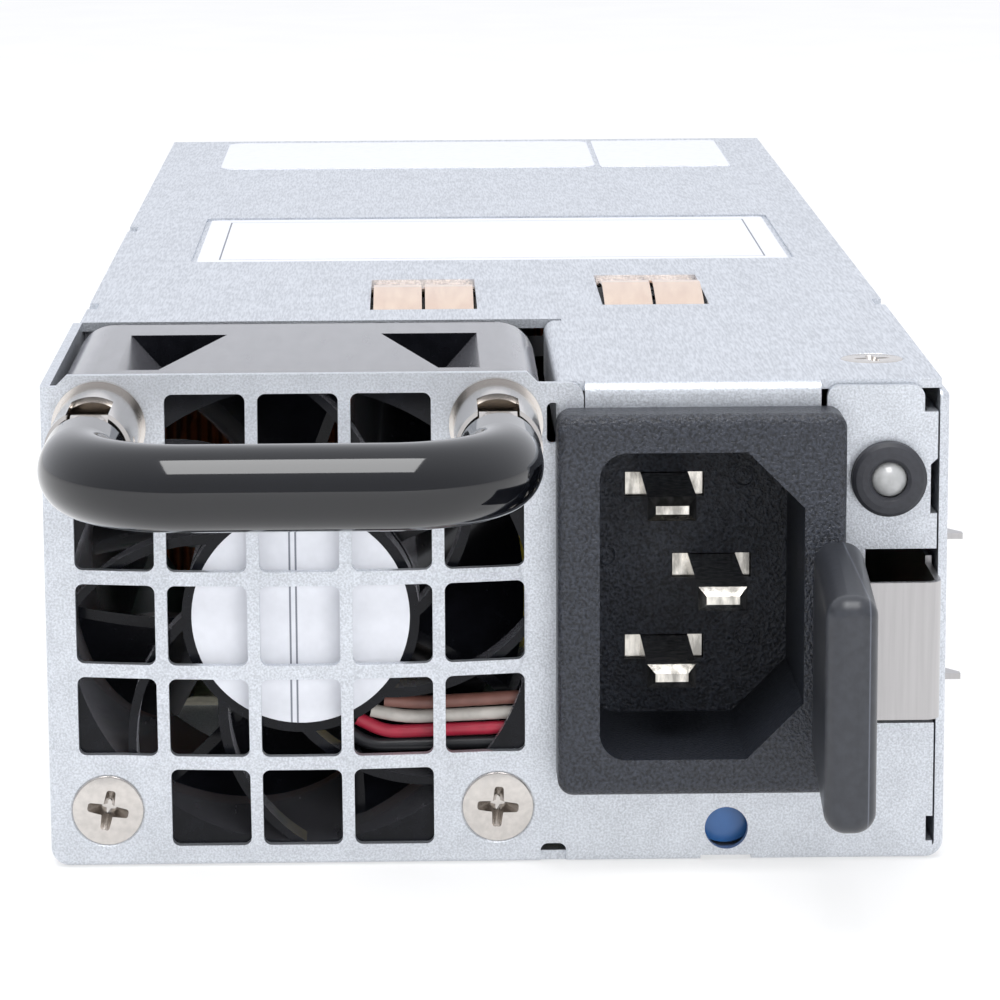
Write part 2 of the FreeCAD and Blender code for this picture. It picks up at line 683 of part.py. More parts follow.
def top_cover():
    """Cover plate with a front lip, side flanges and the cut-out over the fan."""
    cover = Body("top_cover")
    flange_right = INNER_RIGHT - p.fit_gap
    flange_left = INNER_LEFT + p.fit_gap
    plate_front = PLATE_BACK + p.seat_gap
    fan_edge = FRONT + CUTOUT_DEPTH
    side = RIGHT - p.cover_inset
    cover.pad("XY", UNDER_COVER, TOP, polygon(
        (CUTOUT_X, plate_front), (p.flange_left, plate_front), (p.flange_left, FRONT),
        (p.flange_right, FRONT), (p.flange_right, plate_front), (side, plate_front),
        (side, REAR), (-side, REAR), (-side, fan_edge), (CUTOUT_X, fan_edge)))
    cover.pad("XZ", FRONT, PLATE_BACK,
              rectangle(p.flange_left, p.flange_bottom, p.flange_right, UNDER_COVER + 0.2))
    cover.dress("Fillet", 1, runs_along("x", y=(FRONT,), z=(TOP,)))
    # folded edge beside the fan, with a relief at the end of its bend
    relief = fan_edge - 1
    cover.pocket("XY", UNDER_COVER, TOP,
                 rectangle(CUTOUT_X - 0.5, relief, CUTOUT_X + p.steel * 2, fan_edge))
    cover.pad("XZ", plate_front, relief,
              rectangle(CUTOUT_X, UNDER_COVER - 4, CUTOUT_X + p.steel, UNDER_COVER + 0.2))
    cover.dress("Fillet", 1, runs_along("y", x=(CUTOUT_X,), z=(TOP,)))
    # side flanges slide inside the tray's walls
    for left, right, start in ((flange_left, flange_left + p.steel, fan_edge + 2),
                               (flange_right - p.steel, flange_right, FRONT + 18)):
        cover.pad("XZ", start, REAR - 2,
                  rectangle(left, UNDER_COVER - p.cover_flange, right, UNDER_COVER + 0.2))
        cover.pocket("YZ", left, right,
                     disc(SIDE_SCREW_Y, SIDE_SCREW_Z, p.screw_shank / 2 - 0.15))
    # clips of the side walls reach into notches in the cover's edges
    for edge, outside, depth in ((-side, LEFT, 43), (-side, LEFT, 98), (side, RIGHT, 42)):
        inboard = edge + (0.9 if outside is LEFT else -0.9)
        low, high = (outside, inboard) if outside is LEFT else (inboard, outside)
        cover.pocket("XY", UNDER_COVER, TOP, rectangle(
            low, FRONT + depth, high, FRONT + depth + 3.6))
    # windows for the grounding fingers
    for x, y in FINGER_PLACES:
        reach = FINGER_PAIR / 2 + 0.3
        cover.pocket("XY", UNDER_COVER, TOP, rectangle(
            x - reach, y - p.finger_length / 2 - 0.4, x + reach, y + p.finger_length / 2 + 0.4))
    # shallow pressed field under the rating label
    cover.pocket("XY", TOP - p.label_recess, TOP, rounded(
        LABEL_X, LABEL_Y, p.label_width + 1, p.label_length + 1, 1))
    # countersunk front screw
    cover.pocket("XY", UNDER_COVER, TOP, disc(TOP_SCREW_X, TOP_SCREW_Y, FLUSH_HOLE + 0.05))
    cover.dress("Chamfer", p.steel - 0.05, circles_at("z", TOP, x=TOP_SCREW_X, y=TOP_SCREW_Y))
    return node(cover)


def rear_panel():
    """Rear sheet with air slots, side folds and the mouth for the edge connector."""
    panel = Body("rear_panel")
    left, right = INNER_LEFT + p.fit_gap, INNER_RIGHT - p.fit_gap
    low, high = p.steel + p.fit_gap, UNDER_COVER - p.fit_gap
    panel.pad("XZ", REAR - p.steel, REAR, rectangle(left, low, right, high))
    panel.dress("Fillet", p.bend - p.steel + 0.2, runs_along("y", x=(left, right), z=(low,)))
    for start in (left, right - p.steel):
        panel.pad("XZ", REAR - 7, REAR - p.steel / 2,
                  rectangle(start, low + 2, start + p.steel, UNDER_COVER - p.cover_flange - 1))
    panel.pocket("XZ", REAR - p.steel, REAR, rectangle(
        -p.tongue_width / 2 - 1, p.board_z - 2, p.tongue_width / 2 + 1, BOARD_TOP + 3))
    slot = panel.pocket("XZ", REAR - p.steel, REAR, rounded(-31.5, 24.5, 2.4, 20, 1.15))
    panel.repeat(slot, "H_Axis", size(4.2), 16)
    return node(panel)


def finger_section():
    """Side view of one sprung finger: an arch of thin strip, steeper at the front."""
    half = float(p.finger_length) / 2
    low = float(FINGER_FOOT - TOP)
    rise = float(p.finger_rise)
    gauge = float(FINGER_GAUGE)
    faces = []
    for lift in (0, gauge):
        top = vector(0, -half * 0.15, rise + lift - gauge)
        front = Part.Arc(vector(0, -half, low + lift),
                         vector(0, -half * 0.62, (low + rise) * 0.36 + lift), top)
        back = Part.Arc(top, vector(0, half * 0.5, (low + rise) * 0.42 + lift),
                        vector(0, half, low + lift))
        faces.append((front, back))
    (front, back), (front_top, back_top) = faces
    return Part.Face(Part.Wire([
        front.toShape(), back.toShape(), Part.makeLine(back.EndPoint, back_top.EndPoint),
        back_top.toShape(), front_top.toShape(),
        Part.makeLine(front_top.StartPoint, front.StartPoint)]))


def grounding_fingers():
    """Two pairs of sprung copper fingers, each pair on one strip under the cover."""
    finger = finger_section().extrude(vector(p.finger_width, 0, 0))
    reach = float(FINGER_PAIR) / 2
    half = float(p.finger_length) / 2
    parts = []
    for start in (-reach, reach - float(p.finger_width)):
        copy = finger.copy()
        copy.translate(vector(start, 0, 0))
        parts.append(copy)
    for middle in (-half - 1.3, half + 1.3):
        foot = Part.makeBox(reach * 2 + 3, 3, float(FINGER_GAUGE))
        foot.translate(vector(-reach - 1.5, middle - 1.5, FINGER_FOOT - TOP))
        parts.append(foot)
    shape = parts[0].multiFuse(parts[1:]).removeSplitter()
    pairs = [place(feature("finger_pair", shape), x, y, TOP) for x, y in FINGER_PLACES]
    return node(group("grounding_fingers", pairs))


# ---------------------------------------------------------------- fan

FAN_FRONT = PLATE_BACK
FAN_BACK = FAN_FRONT + p.fan_depth
MOTOR_RADIUS = p.motor_diameter / 2
BORE_RADIUS = p.fan_bore / 2
STRUT_DEPTH = size(3)
CUP_DEPTH = size(1.5)
ROTOR_FRONT = FAN_FRONT + STRUT_DEPTH + 1.2
ROTOR_BACK = FAN_BACK - 2
HUB_BORE = p.shaft_diameter / 2
TUBE_RADIUS = p.bearing_diameter / 2 + 0.8
TUBE_BACK = ROTOR_BACK - 4
LEADS_Z = FAN_Z - 9.1
LEAD_DIAMETER = 1.1
LEAD_PITCH = 1.3


def around_fan(shape, count):
    """Copies of a shape round the fan's axis."""
    centre = vector(FAN_X, 0, FAN_Z)
    copies = []
    for number in range(count):
        copy = shape.copy()
        copy.rotate(centre, FreeCAD.Vector(0, 1, 0), 360.0 * number / count)
        copies.append(copy)
    return copies


def fan_struts():
    """Curved stator vanes between the motor cup and the frame."""
    inner, outer = float(MOTOR_RADIUS) - 0.6, float(BORE_RADIUS) + 0.4
    # radius and the angle swept there
    curve = ((inner, 0), ((inner + outer) / 2, 0.41), (outer, 0.8))
    edges = []
    for half in (0.55, -0.55):
        edges.append(Part.Arc(*[
            vector(radius * math.cos(angle + half / radius), 0,
                   radius * math.sin(angle + half / radius)) for radius, angle in curve]))
    outline = Part.Wire([edges[0].toShape(),
                         Part.makeLine(edges[0].EndPoint, edges[1].EndPoint),
                         edges[1].toShape(),
                         Part.makeLine(edges[1].StartPoint, edges[0].StartPoint)])
    vane = Part.Face(outline).extrude(vector(0, STRUT_DEPTH, 0))
    vane.translate(vector(FAN_X, FAN_FRONT, FAN_Z))
    vanes = around_fan(vane, int(float(p.strut_count)))
    return feature("fan_struts", vanes[0].multiFuse(vanes[1:]))


def fan_pockets():
    """Eight wedge-shaped reliefs, two in each side of the housing, down to its barrel."""
    half = float(p.fan_width) / 2
    outer = float(p.fan_pocket_outer)
    start, end = float(p.fan_pocket_front), float(p.fan_pocket_back)
    slope = Part.Face(Part.makePolygon([
        vector(outer, 0, half + 1), vector(outer, 0, half), vector(outer - 4.2, 0, half - 4.7),
        vector(4, 0, half - 4.7), vector(4, 0, half + 1), vector(outer, 0, half + 1)]))
    plan = Part.Face(Part.makePolygon([
        vector(outer + 1, start, 0), vector(outer - 3.4, start, 0), vector(outer - 8.2, end, 0),
        vector(outer + 1, end, 0), vector(outer + 1, start, 0)]))
    wedge = slope.extrude(vector(0, p.fan_depth, 0)).common(plan.extrude(vector(0, 0, half * 2)))
    barrel = Part.makeCylinder(half - 0.15, float(p.fan_depth), FreeCAD.Vector(),
                               FreeCAD.Vector(0, 1, 0))
    wedge = wedge.cut(barrel)
    pair = wedge.fuse(wedge.mirror(FreeCAD.Vector(), FreeCAD.Vector(1, 0, 0)))
    pair.translate(vector(FAN_X, FAN_FRONT, FAN_Z))
    return feature("fan_pockets", Part.makeCompound(around_fan(pair, 4)))


def fan_frame():
    """Moulded square housing with pockets round its barrel, motor cup and curved struts."""
    frame = Body("fan_housing")
    frame.pad("XZ", FAN_FRONT, FAN_BACK,
              rounded(FAN_X, FAN_Z, p.fan_width, p.fan_width, p.fan_corner))
    frame.dress("Chamfer", 0.6, lies_at("y", FAN_FRONT))
    frame.pocket("XZ", FAN_FRONT, FAN_BACK, disc(FAN_X, FAN_Z, BORE_RADIUS))
    corners = [(x, z) for x in (HOLE_LEFT, HOLE_RIGHT) for z in (HOLE_LOW, HOLE_HIGH)]
    frame.pocket("XZ", FAN_FRONT, FAN_BACK,
                 *[disc(x, z, p.fan_hole / 2) for x, z in corners])
    # the handle's screws sink in from the rear
    frame.pocket("XZ", FAN_FRONT + p.fan_flange, FAN_BACK,
                 *[disc(x, HOLE_HIGH, p.screw_head / 2) for x in (HOLE_LEFT, HOLE_RIGHT)])
    frame.spin("Groove", FAN_X, FAN_Z, polygon(
        (FAN_BACK - 2.5, BORE_RADIUS - 0.5), (FAN_BACK, BORE_RADIUS - 0.5),
        (FAN_BACK, BORE_RADIUS + 0.6)))
    # mouth for the leads at the lower right
    frame.pocket("XZ", FAN_FRONT + 0.9, FAN_FRONT + STRUT_DEPTH, rectangle(
        FAN_X + p.fan_width / 2 - 6.5, LEADS_Z - 3.1,
        FAN_X + p.fan_width / 2 + 1, LEADS_Z + 3.1))
    cup = Body("fan_cup")
    bore = p.bearing_diameter / 2
    cup.spin("Revolution", FAN_X, FAN_Z, polygon(
        (FAN_FRONT, 0), (FAN_FRONT, MOTOR_RADIUS), (FAN_FRONT + STRUT_DEPTH, MOTOR_RADIUS),
        (FAN_FRONT + STRUT_DEPTH, MOTOR_RADIUS - 0.8),
        (FAN_FRONT + CUP_DEPTH, MOTOR_RADIUS - 0.8),
        (FAN_FRONT + CUP_DEPTH, TUBE_RADIUS), (TUBE_BACK, TUBE_RADIUS),
        (TUBE_BACK, bore), (FAN_FRONT + CUP_DEPTH, bore), (FAN_FRONT + CUP_DEPTH, 0)))
    housing = cut("fan_shell", frame.body, [fan_pockets()])
    return node(fused("fan_frame", [housing, cup.body, fan_struts()]))


def fan_rotor():
    """Hub cup with twisted blades."""
    hub = Body("fan_hub")
    skin = 1.2
    hub.spin("Revolution", FAN_X, FAN_Z, polygon(
        (ROTOR_FRONT, MOTOR_RADIUS), (ROTOR_BACK, MOTOR_RADIUS), (ROTOR_BACK, HUB_BORE),
        (ROTOR_BACK - skin, HUB_BORE), (ROTOR_BACK - skin, MOTOR_RADIUS - skin),
        (ROTOR_FRONT, MOTOR_RADIUS - skin)))
    tip = float(BORE_RADIUS - p.blade_tip_gap)
    root = float(MOTOR_RADIUS) - skin / 2
    depth = float(ROTOR_BACK - ROTOR_FRONT) - 1
    sections = []
    for radius, pitch in ((root, 52), ((root + tip) / 2, 60), (tip + 1, 66)):
        # chord leans more towards the tip, as the air meets it faster
        half_y = depth / 2
        half_s = half_y * math.tan(math.radians(pitch)) * radius / (tip + 1) * 0.42
        thick = 0.55
        pts = [vector(radius, -half_y, -half_s - thick), vector(radius, 0, half_s * 0.35 - thick),
               vector(radius, half_y, half_s - thick), vector(radius, half_y, half_s + thick),
               vector(radius, 0, half_s * 0.35 + thick), vector(radius, -half_y, -half_s + thick)]
        sections.append(Part.Wire([Part.Arc(pts[0], pts[1], pts[2]).toShape(),
                                   Part.makeLine(pts[2], pts[3]),
                                   Part.Arc(pts[3], pts[4], pts[5]).toShape(),
                                   Part.makeLine(pts[5], pts[0])]))
    blade = Part.makeLoft(sections, True)
    middle = vector(FAN_X, (ROTOR_FRONT + ROTOR_BACK) / 2, FAN_Z)
    blade.translate(middle)
    barrel = Part.makeCylinder(tip, depth + 4, middle - vector(0, depth / 2 + 2, 0),
                               FreeCAD.Vector(0, 1, 0))
    core = Part.makeCylinder(float(MOTOR_RADIUS) - 0.3, depth + 4,
                             middle - vector(0, depth / 2 + 2, 0), FreeCAD.Vector(0, 1, 0))
    blades = [one.common(barrel).cut(core) for one in around_fan(blade, int(float(p.blade_count)))]
    wheel = feature("fan_blades", Part.makeCompound(blades))
    return node(fused("fan_rotor", [hub.body, wheel]))


def fan_motor():
    """Yoke and magnet in the rotor, shaft, two bearings, stator and drive board."""
    x, z = FAN_X, FAN_Z
    yoke_radius = MOTOR_RADIUS - 1.2
    yoke = Body("rotor_yoke")
    yoke.spin("Revolution", x, z, polygon(
        (ROTOR_FRONT + 0.5, yoke_radius), (ROTOR_BACK - 1.2, yoke_radius),
        (ROTOR_BACK - 1.2, HUB_BORE), (ROTOR_BACK - 1.8, HUB_BORE),
        (ROTOR_BACK - 1.8, yoke_radius - 0.6), (ROTOR_FRONT + 0.5, yoke_radius - 0.6)))
    node(yoke)
    magnet = Body("rotor_magnet")
    magnet.spin("Revolution", x, z, rectangle(
        ROTOR_FRONT + 1, yoke_radius - 1.6, TUBE_BACK, yoke_radius - 0.6))
    node(magnet)
    shaft_front = FAN_FRONT + CUP_DEPTH + 0.3
    node(rod("fan_shaft", "y", x, shaft_front, z, HUB_BORE, ROTOR_BACK - shaft_front))
    races = []
    for start in (FAN_FRONT + CUP_DEPTH + 1, TUBE_BACK - p.bearing_width - 0.5):
        race = Body("bearing_race")
        race.spin("Revolution", x, z, rectangle(
            start, HUB_BORE + 0.03, start + p.bearing_width, p.bearing_diameter / 2))
        races.append(race.body)
    node(group("fan_bearings", races))
    stator = Body("fan_stator")
    stator_front = ROTOR_FRONT + 2
    stator_back = ROTOR_BACK - 6
    stator.pad("XZ", stator_front, stator_back, disc(x, z, yoke_radius - 2),
               disc(x, z, TUBE_RADIUS + p.seat_gap))
    slots = [rounded(x, z + side * (yoke_radius - 2), 2, 2.2, 0.8) for side in (-1, 1)]
    slots += [rounded(x + side * (yoke_radius - 2), z, 2.2, 2, 0.8) for side in (-1, 1)]
    stator.pocket("XZ", stator_front, stator_back, *slots)
    node(stator)
    board = Body("fan_board")
    board.pad("XZ", FAN_FRONT + CUP_DEPTH, FAN_FRONT + CUP_DEPTH + 0.8,
              disc(x, z, MOTOR_RADIUS - 1), disc(x, z, TUBE_RADIUS + p.seat_gap))
    node(board)
    node(rod("fan_hub_label", "y", x, FAN_FRONT - p.label_thick, z, size(8.9), p.label_thick))


def fan_screws():
    """Two flat-head screws at the foot of the fan."""
    screws = []
    for x in (HOLE_LEFT, HOLE_RIGHT):
        head = taper("fan_screw_head", "y", x, FRONT, HOLE_LOW, p.screw_head / 2,
                     p.screw_shank / 2, (p.screw_head - p.screw_shank) / 2)
        shank = rod("fan_screw_shank", "y", x, FRONT + 0.9, HOLE_LOW,
                    p.fan_hole / 2 - 0.02, size(6.5))
        screws.append(fused("fan_screw", [head, shank]))
    return node(group("fan_screws", screws))


# ---------------------------------------------------------------- handle

RIM = FRONT - p.ferrule_length
PIVOT_Y = RIM + p.pivot_depth
END_WALL = size(0.6)
SLEEVE_END = RIM - p.neck_length
BAR_Y = FRONT - p.handle_reach


def mirrored(name, source):
    """The same piece on the other side of the fan's centre line."""
    image = doc.addObject("Part::Mirroring", name)
    image.Source = source
    image.Normal = FreeCAD.Vector(1, 0, 0)
    bind(image, "Base.x", FAN_X)
    return image


def handle_ferrules():
    """Sockets on the plate: a tube with a fold slot on top and a forked end wall."""
    ferrule = Body("handle_ferrule")
    x, z = HOLE_RIGHT, HOLE_HIGH
    outer, bore = p.ferrule_diameter / 2, p.ferrule_bore / 2
    ferrule.spin("Revolution", x, z, polygon(
        (FRONT, p.screw_shank / 2), (FRONT, outer + 0.35), (FRONT - 0.7, outer + 0.35),
        (FRONT - 0.7, outer), (RIM + 0.3, outer), (RIM, outer - 0.3), (RIM, 0),
        (RIM + END_WALL, 0), (RIM + END_WALL, bore), (RIM + 9, bore),
        (RIM + 9, p.screw_shank / 2)))
    ferrule.pocket("XY", z, z + outer, rectangle(
        x - p.slot_width / 2, RIM, x + p.slot_width / 2, RIM + p.slot_depth))
    ferrule.pocket("XZ", RIM, RIM + END_WALL, rectangle(
        x - p.slot_width / 2, z - p.tang_height / 2 - p.seat_gap,
        x + p.slot_width / 2, z + 0.5))
    ferrule.pocket("YZ", x - outer, x + outer, disc(PIVOT_Y, z, p.pin_diameter / 2))
    return node(group("handle_ferrules", [ferrule.body, mirrored("left_ferrule", ferrule.body)]))


def handle_pins():
    """Hinge pins pressed across the sockets."""
    pins = [rod("handle_pin", "x", x - p.ferrule_diameter / 2 + 0.1, PIVOT_Y, HOLE_HIGH,
                p.pin_diameter / 2, p.ferrule_diameter - 0.2) for x in (HOLE_LEFT, HOLE_RIGHT)]
    return node(group("handle_pins", pins))


def handle_screws():
    """Pan-head screws from behind the fan's front flange into the sockets."""
    screws = []
    for x in (HOLE_LEFT, HOLE_RIGHT):
        seat = FAN_FRONT + p.fan_flange
        head = rod("handle_screw_head", "y", x, seat, HOLE_HIGH, p.screw_head / 2 - 0.2, size(2))
        shank = rod("handle_screw_shank", "y", x, FRONT - 2.9, HOLE_HIGH,
                    p.screw_shank / 2 - 0.01, seat - FRONT + 3.4)
        screws.append(fused("handle_screw", [head, shank]))
    return node(group("handle_screws", screws))


def u_path(sketch, left, right, back, front, bend):
    """A U seen from above: two legs towards -Y joined by a bar with round corners."""
    left, right, back = size(left), size(right), size(back)
    front, bend = size(front), size(bend)
    r = float(bend)
    corners = [(float(left) + r, float(front) + r, 180), (float(right) - r, float(front) + r, 270)]
    sketch.addGeometry(Part.LineSegment(vector(left, back, 0), vector(left, front + bend, 0)), False)
    for number, (u, v, start) in enumerate(corners):
        circle = Part.Circle(FreeCAD.Vector(u, v, 0), FreeCAD.Vector(0, 0, 1), r)
        sketch.addGeometry(Part.ArcOfCircle(
            circle, math.radians(start), math.radians(start + 90)), False)
        if number == 0:
            sketch.addGeometry(Part.LineSegment(
                vector(left + bend, front, 0), vector(right - bend, front, 0)), False)
    sketch.addGeometry(Part.LineSegment(vector(right, front + bend, 0), vector(right, back, 0)), False)
    sketch.addConstraint([
        Sketcher.Constraint("Tangent", 0, 2, 1, 1), Sketcher.Constraint("Tangent", 1, 2, 2, 1),
        Sketcher.Constraint("Tangent", 2, 2, 3, 1), Sketcher.Constraint("Tangent", 3, 2, 4, 1),
        Sketcher.Constraint("Vertical", 0), Sketcher.Constraint("Horizontal", 2),
        Sketcher.Constraint("Vertical", 4), Sketcher.Constraint("Equal", 1, 3)])
    at_point(sketch, 0, 1, left, back)
    at_point(sketch, 4, 2, right, back)
    at_point(sketch, 1, 3, left + bend, front + bend)


def bent_bar(piece, back, *rings):
    """Sweeps ring outlines along the handle's U."""
    def path(sketch):
        u_path(sketch, HOLE_LEFT, HOLE_RIGHT, back, BAR_Y, p.handle_bend)
    spine = piece.sketch("XY", HOLE_HIGH, [path])
    section = piece.sketch("XZ", back, rings)
    pipe = piece.body.newObject("PartDesign::AdditivePipe", piece.name + "_pipe")
    pipe.Profile = section
    pipe.Spine = (spine, ["Edge%d" % number for number in range(1, 6)])
    doc.recompute()
    return pipe


def handle_wire():
    """Bent steel bar whose leg ends are flattened into tangs for the hinge pins."""
    wire = Body("handle_wire")
    bent_bar(wire, SLEEVE_END + 0.4, disc(HOLE_LEFT, HOLE_HIGH, p.wire_diameter / 2))
    low, high = HOLE_HIGH - p.tang_height / 2, HOLE_HIGH + p.tang_height / 2
    back = PIVOT_Y + p.tang_height / 2
    for x in (HOLE_LEFT, HOLE_RIGHT):
        wire.pad("XZ", SLEEVE_END + 0.1, back,
                 rounded(x, HOLE_HIGH, p.tang_width, p.tang_height, 0.7))
        wire.pocket("XZ", PIVOT_Y, back, rectangle(x - 2, low, x + 2, high))
        wire.pad("YZ", x - p.tang_width / 2, x + p.tang_width / 2,
                 disc(PIVOT_Y, HOLE_HIGH, p.tang_height / 2))
        wire.pocket("YZ", x - p.tang_width / 2, x + p.tang_width / 2,
                    disc(PIVOT_Y, HOLE_HIGH, p.pin_diameter / 2 + p.fit_gap))
    return node(wire)


def handle_sleeve():
    """Glossy plastic tube over the bar."""
    sleeve = Body("handle_sleeve")
    bent_bar(sleeve, SLEEVE_END, disc(HOLE_LEFT, HOLE_HIGH, p.sleeve_diameter / 2),
             disc(HOLE_LEFT, HOLE_HIGH, p.wire_diameter / 2 + p.sleeve_gap))
    return node(sleeve)


# ---------------------------------------------------------------- mains inlet

BEZEL_FRONT = FRONT - p.bezel_depth
RECESS_FLOOR = BEZEL_FRONT + p.recess_depth
TAB_END = FRONT + p.body_depth + 7
LINE_X = p.inlet_x - p.pin_offset
EARTH_X = LINE_X + 4
BLADE_PLACES = ((LINE_X, p.inlet_z + p.pin_spacing / 2), (LINE_X, p.inlet_z - p.pin_spacing / 2))
SHOULDER_WIDTH = p.pin_width + 2.7


def inlet_housing():
    """Moulded inlet: bevelled bezel, shaped plug opening and snap wedges behind the plate."""
    inlet = Body("inlet_housing")
    x, z = p.inlet_x, p.inlet_z
    inlet.pad("XZ", BEZEL_FRONT, FRONT,
              rounded(x, z, p.bezel_width, p.bezel_height, p.bezel_corner))
    inlet.dress("Fillet", 0.9, lies_at("y", BEZEL_FRONT))
    half_w, half_h = p.body_width / 2, p.body_height / 2
    inlet.pad("XZ", FRONT, FRONT + p.body_depth,
              rectangle(x - half_w, z - half_h, x + half_w, z + half_h))
    left, right = x - p.recess_width / 2, x + p.recess_width / 2
    low, high = z - p.recess_height / 2, z + p.recess_height / 2
    inlet.pocket("XZ", BEZEL_FRONT, RECESS_FLOOR, polygon(
        (left, low), (right - p.recess_cut, low), (right, low + p.recess_cut),
        (right, high - p.recess_cut), (right - p.recess_cut, high), (left, high)))
    inlet.dress("Fillet", p.recess_round, runs_along("y", x=(left,), z=(low, high)))
    for bx, bz in BLADE_PLACES + ((EARTH_X, z),):
        inlet.pocket("XZ", RECESS_FLOOR, FRONT + p.body_depth, rectangle(
            bx - SHOULDER_WIDTH / 2, bz - p.pin_thick / 2 - 0.05,
            bx + SHOULDER_WIDTH / 2, bz + p.pin_thick / 2 + 0.05))
    # snap wedges above and below, behind the plate
    for side in (-1, 1):
        foot = z + half_h * side
        inlet.pad("YZ", x - 3, x + 3, polygon(
            (PLATE_BACK + p.seat_gap, foot - 0.3 * side), (FRONT + 6, foot - 0.3 * side),
            (PLATE_BACK + p.seat_gap, foot + 1.1 * side)))
    return node(inlet)


def blade(name, x, z, length):
    """Contact blade with a shoulder in the housing and a solder tab behind it."""
    contact = Body(name)
    tip = RECESS_FLOOR - length
    shoulder = RECESS_FLOOR + 0.6
    contact.pad("XZ", tip, shoulder,
                rectangle(x - p.pin_width / 2, z - p.pin_thick / 2,
                          x + p.pin_width / 2, z + p.pin_thick / 2))
    contact.dress("Chamfer", 0.65, lies_at("y", tip))
    contact.pad("XZ", shoulder, FRONT + p.body_depth, rectangle(
        x - SHOULDER_WIDTH / 2 + 0.1, z - p.pin_thick / 2,
        x + SHOULDER_WIDTH / 2 - 0.1, z + p.pin_thick / 2))
    contact.pad("XZ", FRONT + p.body_depth, TAB_END,
                rectangle(x - 2.4, z - 0.4, x + 2.4, z + 0.4))
    return contact.body


def inlet_blades():
    """Line, neutral and the longer earth blade."""
    blades = [blade("line_blade", x, z, p.line_pin_length) for x, z in BLADE_PLACES]
    blades.append(blade("earth_blade", EARTH_X, p.inlet_z, p.earth_pin_length))
    return node(group("inlet_blades", blades))


# ---------------------------------------------------------------- status lamp

def lamp():
    """Press-in holder with a bevelled flange, and the lamp in it."""
    holder = Body("lamp_holder")
    x, z = p.lamp_x, p.lamp_z
    flange, lens = p.lamp_flange / 2, p.lamp_lens / 2
    holder.spin("Revolution", x, z, polygon(
        (FRONT, flange), (FRONT - 1, flange), (FRONT - 1.3, flange - 0.3),
        (FRONT - 1.4, flange - 0.8), (FRONT - 1.4, lens + 0.3), (FRONT - 1.1, lens + 0.02),
        (FRONT + 5, lens + 0.02), (FRONT + 5, flange - 0.45), (FRONT, flange - 0.45)))
    node(holder)
    led = Body("lamp_lens")
    led.spin("Revolution", x, z, dome(FRONT - 1.8, FRONT - 0.7, lens, FRONT + 4.2))
    node(led)
    wires = []
    for side in (-1, 1):
        across = x + side * 0.7
        wires.append(feature("lamp_wire", cord([
            (across, FRONT + 4.25, z), (across, FRONT + 14, z),
            (across - 2.5, FRONT + 27, z - 5), (across - 3, FRONT + 37, z - 12),
            (across - 3, FRONT + 37, BOARD_TOP + p.fit_gap)], 0.8)))
    return node(group("lamp_wires", wires))


def cord(points, diameter):
    """A round lead: straight runs joined by tangent arcs, as large as the runs allow."""
    points = [vector(*point) for point in points]
    pieces = []
    length = 0
    start = points[0]

    def straight(first, last):
        pieces.append(Part.makeCylinder(diameter / 2, (last - first).Length, first, last - first))
        return (last - first).Length

    for before, corner, after in zip(points, points[1:], points[2:]):
        arrive, leave = corner - before, after - corner
        reach = 0.45 * min(arrive.Length, leave.Length)
        arrive.normalize()
        leave.normalize()
        turn = arrive.getAngle(leave)
        radius = reach / math.tan(turn / 2)
        print("lead radius %.1f mm, diameter %.1f" % (radius, diameter))
        bend_start = corner - arrive * reach
        centre = bend_start + (leave - arrive * arrive.dot(leave)).normalize() * radius
        section = Part.Face(Part.Wire([Part.makeCircle(diameter / 2, bend_start, arrive)]))
        length += straight(start, bend_start) + radius * turn
        pieces.append(section.revolve(centre, arrive.cross(leave), math.degrees(turn)))
        start = corner + leave * reach
    length += straight(start, points[-1])
    tube = pieces[0].multiFuse(pieces[1:])
    wanted = math.pi * (diameter / 2) ** 2 * length
    if len(tube.Solids) != 1 or abs(tube.Volume - wanted) > 0.01 * wanted:
        raise ValueError("a lead's tube is not its section times its length")
    return tube


# ---------------------------------------------------------------- latch

LEAF_OUT = INNER_RIGHT - p.latch_gap
LEAF_IN = LEAF_OUT - p.latch_steel
STRIP_FRONT = FRONT - p.latch_forward
STRIP_BACK = STRIP_FRONT + p.latch_steel
GRIP_BACK = STRIP_FRONT - 0.6
GRIP_FRONT = GRIP_BACK - p.grip_length
CORE_FRONT = GRIP_BACK - p.grip_length * 0.7


def core_profile():
    """Plan of the strip's end inside the grip, leaning inboard."""
    lean = p.grip_lean * 0.7
    half = p.latch_steel / 2
    return ((p.grip_x + half, STRIP_FRONT), (p.grip_x + half - lean, CORE_FRONT),
            (p.grip_x - half - lean, CORE_FRONT), (p.grip_x - half, STRIP_FRONT))


